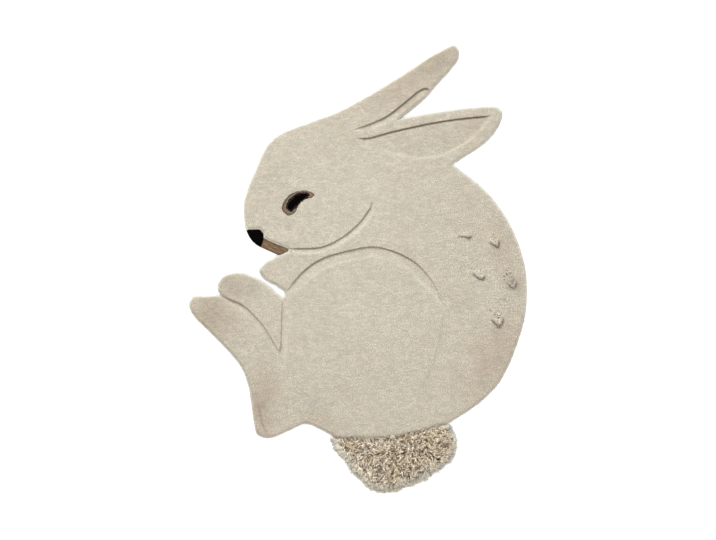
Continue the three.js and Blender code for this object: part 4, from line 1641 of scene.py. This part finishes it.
def wool_shade_group():
    """Wool's colour: painted shade between the yarns and in the cuts, painted highlight toward a pale colour,
    with each yarn's own tone and the rug's tan places.
    """
    group, wiring, given, out = new_group(
        "Wool Shade",
        [
            ("Wool", "NodeSocketColor", rgba((0.6, 0.6, 0.6))),
            ("Below", "NodeSocketColor", rgba((0.2, 0.2, 0.2))),
            ("Tan", "NodeSocketColor", rgba((0.6, 0.5, 0.4))),
            ("Cut", "NodeSocketColor", rgba((0.1, 0.08, 0.05))),
            ("Pale", "NodeSocketColor", rgba((0.8, 0.8, 0.75))),
            ("Yarn Contrast", "NodeSocketFloat", 0.05),
            ("Zone Shade", "NodeSocketFloat", 0.1),
            ("Fibre Contrast", "NodeSocketFloat", 0.06),
        ],
        [("Color", "NodeSocketColor"), ("Fibre", "NodeSocketFloat")],
    )
    fibre = wiring.noise(Scale=900.0, Detail=3.0, Roughness=0.6)
    wool = wiring.mix(wiring.share("zone_tan"), given["Wool"], given["Tan"])
    # Painted shade: toward the Below colour where the yarn lies deep
    depth = wiring.math("POWER", wiring.share("yarn_depth_shade"), 1.4)
    colour = wiring.mix(depth, wool, given["Below"])
    # Painted shade of cuts, gaps, joins and shadows: toward the Cut colour
    painted_shade = wiring.share("painted_shade")
    colour = wiring.mix(painted_shade, colour, given["Cut"])
    tone = wiring.math("MULTIPLY", wiring.attribute("yarn_tone"), given["Yarn Contrast"])
    zone = wiring.math("MULTIPLY", wiring.attribute("zone_shade"), given["Zone Shade"])
    fuzz = wiring.math("MULTIPLY", wiring.math("SUBTRACT", fibre, 0.5), given["Fibre Contrast"])
    # Painted highlight toward the Pale colour where the zone value is negative, painted shade where it is
    # positive
    pale = wiring.math("MULTIPLY", wiring.math("MINIMUM", zone, 0.0), -2.0, clamp=True)
    colour = wiring.mix(pale, colour, given["Pale"])
    shaded = wiring.math("MAXIMUM", zone, 0.0)
    light = wiring.math("ADD", wiring.math("SUBTRACT", wiring.math("ADD", tone, fuzz), shaded), 1.0)
    grey = wiring.node("ShaderNodeCombineColor", {0: light, 1: light, 2: light}).outputs[0]
    wiring.tree.links.new(wiring.mix(1.0, colour, grey, "MULTIPLY"), out.inputs["Color"])
    wiring.tree.links.new(fibre, out.inputs["Fibre"])
    return group


def woven_group():
    """A plain weave: the colour's light and dark, and its height."""
    group, wiring, given, out = new_group(
        "Plain Weave",
        [("Threads Per Metre", "NodeSocketFloat", 600.0)],
        [("Light", "NodeSocketFloat"), ("Height", "NodeSocketFloat")],
    )
    place = wiring.node("ShaderNodeTexCoord").outputs["Object"]
    axes = wiring.node("ShaderNodeSeparateXYZ", {0: place}).outputs
    half_turns = wiring.math("MULTIPLY", given["Threads Per Metre"], math.pi)
    waves = [wiring.math("SINE", wiring.math("MULTIPLY", axes[axis], half_turns)) for axis in ("X", "Y")]
    height = wiring.math("MULTIPLY_ADD", wiring.math("MULTIPLY", *waves), 0.5, 0.5)
    slub = wiring.noise(Scale=220.0, Detail=2.0)
    light = wiring.math("ADD", wiring.math("MULTIPLY", height, 0.25), wiring.math("MULTIPLY", slub, 0.3))
    wiring.tree.links.new(light, out.inputs["Light"])
    wiring.tree.links.new(height, out.inputs["Height"])
    return group


def named_group(name, make):
    """The shader node group of a name, made once."""
    return bpy.data.node_groups.get(name) or make()


def new_material(name):
    material = bpy.data.materials.new(name)
    material.use_nodes = True
    material.node_tree.nodes.clear()
    return material, Wiring(material.node_tree)


def finish_material(wiring, inputs):
    """The shader with its inputs, joined to the material's output."""
    shader = wiring.node("ShaderNodeBsdfPrincipled", inputs)
    wiring.node("ShaderNodeOutputMaterial", {"Surface": shader.outputs["BSDF"]})


def bumped(wiring, height, strength, distance):
    """The normal of a surface with a fine relief."""
    bump = wiring.node("ShaderNodeBump", {"Height": height, "Strength": strength, "Distance": distance})
    return bump.outputs["Normal"]


def wool(name, contrast, zone, fibre, sheen, gloss, tan="tan", cut="cut", pale="pale"):
    """One wool's look.

    These are its name, its yarns' contrast, the strength of the painted shade and highlight of its shaded
    places, its fibres' grain, its sheen and its gloss, and which of the colours its tan places, its painted
    shade in cuts and its painted highlight take.
    """
    strengths = {"Yarn Contrast": contrast, "Zone Shade": zone, "Fibre Contrast": fibre}
    colours = {"Tan": tan, "Cut": cut, "Pale": pale}
    return {"name": name, "strengths": strengths, "colours": colours, "sheen": sheen, "gloss": gloss}


WOOLS = {
    "cream": wool("Cream cut pile", 0.125, 0.08, 0.1, sheen=0.2, gloss=0.12),
    "rim": wool("Cream pile at the rim", 0.07, 0.06, 0.1, sheen=0.3, gloss=0.12),
    "brown": wool("Brown cut pile", 0.25, 0.25, 0.16, sheen=0.1, gloss=0.08, tan="brown"),
    "dusk": wool("Dusky brown cut pile", 0.1, 0.2, 0.16, sheen=0.1, gloss=0.08, tan="amber"),
    "black": wool("Black cut pile", 0.2, 0.0, 0.3, sheen=0.0, gloss=0.02, tan="black"),
    "shag": wool("Cream shag", 0.31, 0.1, 0.2, 0.05, 0.05, tan="shag_tan", cut="shag_shaded", pale="fringe"),
    "fringe": wool("Cream fringe", 0.28, 0.1, 0.15, sheen=0.45, gloss=0.05, tan="fringe", pale="fringe"),
}


def wool_material(key):
    """The material of one wool, made once."""
    facts = WOOLS[key]
    if facts["name"] in bpy.data.materials:
        return bpy.data.materials[facts["name"]]
    material, wiring = new_material(facts["name"])
    shade = wiring.node("ShaderNodeGroup", node_tree=named_group("Wool Shade", wool_shade_group))
    colours = bpy.context.scene.rug_colours
    # The wool's colour, its painted shade below, its tan, its painted shade in cuts and its painted highlight
    for socket, colour in {"Wool": key, "Below": key + "_shaded", **facts["colours"]}.items():
        shade.inputs[socket].default_value = rgba(getattr(colours, colour))
    for socket, strength in facts["strengths"].items():
        shade.inputs[socket].default_value = strength
    finish_material(wiring, {
        "Base Color": shade.outputs["Color"],
        "Normal": bumped(wiring, shade.outputs["Fibre"], 0.35, 0.5 * MM),
        "Roughness": 1.0,
        "Specular IOR Level": facts["gloss"],
        "Sheen Weight": facts["sheen"],
        "Sheen Roughness": 0.6,
    })
    return material


def dimmed(colour, share):
    return rgba(value * share for value in colour)


def backing_material():
    """The woven cloth under the rug, made once."""
    name = "Backing cloth"
    if name in bpy.data.materials:
        return bpy.data.materials[name]
    material, wiring = new_material(name)
    weave = wiring.node("ShaderNodeGroup", node_tree=named_group("Plain Weave", woven_group))
    cloth = bpy.context.scene.rug_colours.backing
    finish_material(wiring, {
        "Base Color": wiring.mix(weave.outputs["Light"], rgba(cloth), dimmed(cloth, 0.62)),
        "Normal": bumped(wiring, weave.outputs["Height"], 0.6, 0.4 * MM),
        "Roughness": 0.9,
        "Specular IOR Level": 0.2,
    })
    return material


def floor_material():
    """The pale floor, which gives off a little light of its own."""
    material, wiring = new_material("Pale floor")
    floor = bpy.context.scene.rug_stage.floor_colour
    finish_material(wiring, {
        "Base Color": wiring.mix(wiring.noise(Scale=3.0, Detail=2.0), rgba(floor), dimmed(floor, 0.985)),
        "Emission Color": rgba(floor),
        "Emission Strength": 0.3,
        "Roughness": 0.9,
        "Specular IOR Level": 0.1,
    })
    return material


# Operators

_surface = {}


def rug_surface():
    """The trimmed face of the rug's body, measured once."""
    if "body" not in _surface:
        surface = Surface("body_pile")
        surface.find_carving()
        _surface["body"] = surface
    return _surface["body"]


class RUG_OT_base(bpy.types.Operator):
    """Make the stiffened backing with the body of the pile on it"""

    bl_idname = "rug.base"
    bl_label = "Backing and pile body"

    def execute(self, context):
        base = build_base(rug_surface())
        if not base.data.polygons:
            raise RuntimeError("the rug's base has no faces")
        finish_piece(base, "cream_pile", [wool_material("cream"), backing_material()], "body_pile")
        return {"FINISHED"}


class RUG_OT_field(bpy.types.Operator):
    """Make the field's rows of cut yarn ends and the upright yarn round its rim"""

    bl_idname = "rug.field"
    bl_label = "Cut pile"

    def execute(self, context):
        for piece in build_field(rug_surface()):
            finish_piece(piece, "cream_pile", [wool_material("cream")])
        finish_piece(build_rim(rug_surface()), "cream_pile", [wool_material("rim")])
        return {"FINISHED"}


class RUG_OT_face(bpy.types.Operator):
    """Set in the pile of nose, mouth and eye"""

    bl_idname = "rug.face"
    bl_label = "Nose, mouth and eye"

    def execute(self, context):
        for name, facts in SET_IN.items():
            piece = build_set_in(name, facts["node"])
            materials = [wool_material(wool) for wool in facts["wools"]]
            finish_piece(piece, facts["slot"], materials, facts["node"])
        return {"FINISHED"}


class RUG_OT_tufts(bpy.types.Operator):
    """Make the five tufts on the back"""

    bl_idname = "rug.tufts"
    bl_label = "Back tufts"

    def execute(self, context):
        for number, tuft in enumerate(BACK_TUFTS, 1):
            piece = build_tuft(number, tuft)
            finish_piece(piece, "cream_pile", [wool_material("cream")], f"back_tuft_{number}")
        return {"FINISHED"}


class RUG_OT_tail(bpy.types.Operator):
    """Make the tail's bed, its long curled yarns and the fringe at its rim"""

    bl_idname = "rug.tail"
    bl_label = "Shaggy tail"

    def execute(self, context):
        shape = TailShape()
        finish_piece(build_tail_bed(shape), "cream_shag", [wool_material("shag")], "tail_shag")
        finish_piece(build_tail_yarns(shape), "cream_shag", [wool_material("shag")])
        finish_piece(build_fringe(shape), "cream_shag", [wool_material("fringe")])
        return {"FINISHED"}


class RUG_OT_declare(bpy.types.Operator):
    """Look for the rug's base and gather the pieces tufted into it, with an error if there is no base"""

    bl_idname = "rug.declare"
    bl_label = "Rug as a sheet"

    def execute(self, context):
        base = bpy.data.objects.get("rug_base")
        if base is None:
            raise RuntimeError("make the rug's base first")
        prefixes = ("pile_", "tuft_yarn_", "tail_")
        others = [o for o in bpy.data.objects if o.name.startswith(prefixes) or o.name in SET_IN]
        others = [o for o in others if o.name not in frame["nodes"]]
        return {"FINISHED"}


FLOOR_GAP = 0.5 * MM  # how far the floor lies below the rug's underside
KEY_PLACE, KEY_SIZE = (-1.7, 3.3, 3.0), 2.0
TOP_PLACE, TOP_SIZE = (0.0, 0.0, 5.6), 5.0
CAMERA_SHIFT = -1.3 * MM  # how far the camera stands off the rug's middle, along its length
SENSOR_WIDTH = 36  # in millimetres


class RUG_OT_stage(bpy.types.Operator):
    """Make the floor, the soft light and the camera straight above"""

    bl_idname = "rug.stage"
    bl_label = "Floor, light and camera"

    def execute(self, context):
        stage = context.scene.rug_stage
        half = stage.floor_size / 2
        corners = [(-half, -half, 0), (half, -half, 0), (half, half, 0), (-half, half, 0)]
        floor = new_mesh("floor", corners, [(0, 1, 2, 3)], smooth=False)
        floor.location.z = -FLOOR_GAP
        floor.data.materials.append(floor_material())
        add_light("Key light", KEY_PLACE, KEY_SIZE, stage.key_power)
        add_light("Overhead light", TOP_PLACE, TOP_SIZE, stage.top_power)
        world = bpy.data.worlds.new("Studio")
        world.use_nodes = True
        background = world.node_tree.nodes["Background"]
        background.inputs["Color"].default_value = (1, 1, 1, 1)
        background.inputs["Strength"].default_value = stage.sky_strength
        context.scene.world = world
        context.scene.view_settings.view_transform = "Standard"
        context.scene.view_settings.look = "None"
        context.scene.camera = overhead_camera(stage)
        return {"FINISHED"}


def add_light(name, place, size, power):
    """A round soft light that faces the rug's middle."""
    data = bpy.data.lights.new(name, "AREA")
    data.shape = "DISK"
    data.size = size
    data.energy = power
    light = bpy.data.objects.new(name, data)
    light.location = place
    light.rotation_mode = "QUATERNION"
    light.rotation_quaternion = (-Vector(place)).to_track_quat("-Z", "Y")
    bpy.context.scene.collection.objects.link(light)


def overhead_camera(stage):
    """The camera straight above the rug, which looks down."""
    data = bpy.data.cameras.new("Camera above")
    data.lens = stage.camera_lens
    data.sensor_width = SENSOR_WIDTH
    data.clip_start = 0.1
    data.clip_end = 60
    camera = bpy.data.objects.new("Camera above", data)
    camera.location = (0, CAMERA_SHIFT, stage.camera_height)
    bpy.context.scene.collection.objects.link(camera)
    return camera


class RUG_PT_panel(bpy.types.Panel):
    """The rug's pieces and sizes"""

    bl_idname = "RUG_PT_panel"
    bl_label = "Rabbit Shaped Rug"
    bl_space_type = "VIEW_3D"
    bl_region_type = "UI"
    bl_category = "Rug"

    def draw(self, context):
        for operator in OPERATORS:
            self.layout.operator(operator.bl_idname)
        for label in SETTINGS:
            settings = getattr(context.scene, label)
            box = self.layout.box()
            for key in settings.bl_rna.properties.keys():
                if key not in ("name", "rna_type"):
                    box.prop(settings, key)


OPERATORS = [RUG_OT_stage, RUG_OT_base, RUG_OT_field, RUG_OT_face, RUG_OT_tufts, RUG_OT_tail, RUG_OT_declare]


def register():
    for group in SETTINGS.values():
        bpy.utils.register_class(group)
    for label, group in SETTINGS.items():
        setattr(bpy.types.Scene, label, PointerProperty(type=group))
    for operator in OPERATORS:
        bpy.utils.register_class(operator)
    bpy.utils.register_class(RUG_PT_panel)


def unregister():
    bpy.utils.unregister_class(RUG_PT_panel)
    for operator in reversed(OPERATORS):
        bpy.utils.unregister_class(operator)
    for label in SETTINGS:
        delattr(bpy.types.Scene, label)
    for group in reversed(SETTINGS.values()):
        bpy.utils.unregister_class(group)


def main():
    """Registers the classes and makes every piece."""
    register()
    bpy.ops.rug.stage()
    bpy.ops.rug.base()
    bpy.ops.rug.field()
    bpy.ops.rug.face()
    bpy.ops.rug.tufts()
    bpy.ops.rug.tail()
    bpy.ops.rug.declare()


if __name__ == "__main__":
    main()
